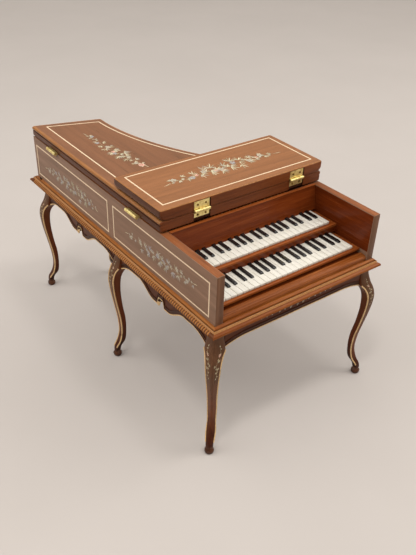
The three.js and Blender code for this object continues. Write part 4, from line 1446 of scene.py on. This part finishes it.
# Stem, size of the tufts, gap between them, tones and roses of each spray.
SPRAYS = {
    ("lid", "lid", 11): (
        [(15.4, 117), (16.2, 108), (16.0, 102.5), (16.6, 95.5), (17.6, 90.5), (19.0, 82.5), (20.4, 77.0)],
        3.1, 2.3, None, [((16.4, 95.2), 0.8), ((19.6, 77.6), 1.3)],
    ),
    ("flap", "flap", 23): (
        [(15, 49.4), (20, 50.4), (27, 50.2), (34, 50.4), (42, 49.8), (50, 50.8), (58, 50.4), (66, 49.4)],
        3.9, 2.4, None,
        [((38.8, 48.6), 1.2), ((36.4, 49.6), 0.9), ((57.6, 50.6), 0.7), ((27.4, 50), 0.7)],
    ),
    ("spine_rear", "case", 31): (
        [(128, 68), (121.5, 68.7), (112, 68.1), (104, 68.8), (96.5, 67.6), (88, 68.6), (83, 67.6)],
        2.7, 2.1, DULL_TONES,
    ),
    ("spine_front", "case", 47): (
        [(56.5, 68.6), (51.5, 69.0), (44.5, 67.7), (38.5, 69), (32, 68.2), (25, 69.2), (18, 69.4),
         (13, 70.2)],
        2.7, 2.1, DULL_TONES,
    ),
}


def make_flowers():
    tops = {"lid": top_face(LID_TOP - PAINT_ROOM), "flap": top_face(FLAP_TOP - PAINT_ROOM)}
    for (place, body, seed), spray in SPRAYS.items():
        brush = Brush(tops.get(body, spine_face), seed)
        brush.spray(*spray)
        brush.finish(f"{place}_flowers", body)
    for place, (corner, outward) in LEGS.items():
        paint_knee(place, corner, outward)
    paint_apron()


def paint_knee(place, corner, outward):
    """A few small leaves and a bud down each painted face of a leg's knee."""
    curve = catmull(LEG_CURVE, 5)

    def at_height(z):
        return min(curve, key=lambda p: abs(p[0] - z))

    across, along = outer_sides(outward)
    faces = [("x", across)] + ([("y", along)] if along else [])
    for axis, sign in faces:
        def knee_face(u, v, lift, axis=axis, sign=sign):
            _, out, into = at_height(v)
            middle, half = (out + into) / 2, (out - into) / 2
            shift = (half + lift) * sign
            x = corner[0] + outward[0] * middle
            y = corner[1] + outward[1] * middle
            return (x + shift, y + u, v) if axis == "x" else (x + u, y + shift, v)

        brush = Brush(knee_face, 60 + len(place) + ord(axis))
        brush.lift = 0.05
        stem = [(0.1, 50.2), (0.3, 47.5), (-0.3, 44.5), (0.15, 41.5), (-0.1, 38.8)]
        brush.spray(stem, 0.85, 1.6, [STEM, LEAF_GREEN], [((0.1, 47.6), 0.45)], blooms=False)
        brush.finish(f"leg_{place}_{axis}_flowers", "case")


def paint_apron():
    """A faint running spray in the middle of the front apron."""
    def front_face(u, v, lift):
        return (u, APRON_INSET - lift, v)

    brush = Brush(front_face, 77)
    stem = [(22, 53.5), (30, 54.1), (39, 53.5), (48, 54.1), (56, 53.5)]
    brush.spray(stem, 0.9, 1.5, [STEM_DARK, LEAF_DULL], blooms=False)
    brush.finish("apron_front_flowers", "case")


# ---- stage, light and camera ------------------------------------------------------------------

FLOOR_REACH, FLOOR_BEND, RIM_HEIGHT = 1.3, 0.5, 0.75
RIM_STEPS = 96
WORLD_LOW, WORLD_HIGH = 0.16, 1.28
WARM, MILD = (1, 0.975, 0.945), (1, 0.98, 0.955)


def make_stage():
    """A round floor that lies flat and curves up far from the object."""
    bend = [math.radians(7.5 * k) for k in range(13)]
    profile = [
        (FLOOR_REACH + FLOOR_BEND * math.sin(a), FLOOR_BEND - FLOOR_BEND * math.cos(a)) for a in bend
    ]
    profile.append((FLOOR_REACH + FLOOR_BEND, RIM_HEIGHT))
    points = [(0, 0, 0)] + [(far * c, far * s, z) for far, z in profile for c, s in turns(RIM_STEPS)]
    faces = [[0, 1 + k, 1 + (k + 1) % RIM_STEPS] for k in range(RIM_STEPS)]
    for ring in range(len(profile) - 1):
        low, high = 1 + ring * RIM_STEPS, 1 + (ring + 1) * RIM_STEPS
        for k in range(RIM_STEPS):
            ahead = (k + 1) % RIM_STEPS
            faces.append([low + k, high + k, high + ahead, low + ahead])
    mesh = bpy.data.meshes.new("backdrop")
    mesh.from_pydata(points, [], faces)
    mesh.materials.append(backdrop_paper())
    mesh.polygons.foreach_set("use_smooth", [True] * len(mesh.polygons))
    backdrop = bpy.data.objects.new("backdrop", mesh)
    bpy.context.collection.objects.link(backdrop)


def soft_light(name, place, target, size, power, tint):
    data = bpy.data.lights.new(name, "AREA")
    data.shape = "DISK"
    data.size = size
    data.energy = power
    data.color = tint
    light = bpy.data.objects.new(name, data)
    light.location = place
    light.rotation_euler = (Vector(target) - Vector(place)).to_track_quat("-Z", "Y").to_euler()
    bpy.context.collection.objects.link(light)


def make_lights():
    for light in (
        ("key_left", (-0.224, -0.16, 0.75), (0, 0, 0.05), 0.12, 1.1, WARM),
        ("key_right", (0.13, -0.16, 0.75), (0, 0, 0.05), 0.12, 0.85, WARM),
        ("left", (-0.5, 0.2, 0.42), (0, 0, 0.05), 0.6, 1.9, MILD),
        ("right", (0.55, -0.25, 0.5), (0, 0, 0.02), 0.6, 1.9, MILD),
        ("front", (0.1, -0.9, 0.5), (0, 0, 0.05), 0.6, 0.8, (1, 0.975, 0.95)),
    ):
        soft_light(*light)
    world = bpy.data.worlds.new("studio")
    world.use_nodes = True
    tree = world.node_tree
    background = tree.nodes["Background"]
    background.inputs["Color"].default_value = srgb(236, 230, 224)
    direction = tree.nodes.new("ShaderNodeTexCoord").outputs["Generated"]
    split = tree.nodes.new("ShaderNodeSeparateXYZ")
    tree.links.new(direction, split.inputs[0])
    overhead = tree.nodes.new("ShaderNodeMapRange")
    overhead.inputs["From Max"].default_value = 0.7
    overhead.inputs["To Min"].default_value = WORLD_LOW
    overhead.inputs["To Max"].default_value = WORLD_HIGH
    tree.links.new(split.outputs["Z"], overhead.inputs["Value"])
    tree.links.new(overhead.outputs[0], background.inputs["Strength"])
    bpy.context.scene.world = world


CAMERA_PLACE = (-0.15127, -0.21196, 0.20228)
CAMERA_AZIMUTH = 37.48
CAMERA_ELEVATION = 34.13
CAMERA_ROLL = 1.96
LENS = 43.82


def make_camera():
    azimuth, elevation = math.radians(CAMERA_AZIMUTH), math.radians(CAMERA_ELEVATION)
    level = math.cos(elevation)
    ahead = Vector((math.sin(azimuth) * level, math.cos(azimuth) * level, -math.sin(elevation)))
    data = bpy.data.cameras.new("camera")
    data.lens = LENS
    data.sensor_width = 36
    data.clip_start = 0.01
    camera = bpy.data.objects.new("camera", data)
    turn = ahead.to_track_quat("-Z", "Y").to_matrix().to_4x4()
    roll = Matrix.Rotation(math.radians(CAMERA_ROLL), 4, "Z")
    camera.matrix_world = Matrix.Translation(CAMERA_PLACE) @ turn @ roll
    bpy.context.collection.objects.link(camera)
    bpy.context.scene.camera = camera


# ---- everything together ----------------------------------------------------------------------

make_moulding()
for leg_place, (leg_corner, leg_outward) in LEGS.items():
    make_leg(leg_place, leg_corner, leg_outward)
make_aprons()
make_case()
make_keyboards()
make_inside()
make_lid()
make_flap()
make_lines()
make_flowers()
make_stage()
make_lights()
make_camera()
bpy.context.scene.view_settings.view_transform = "Standard"
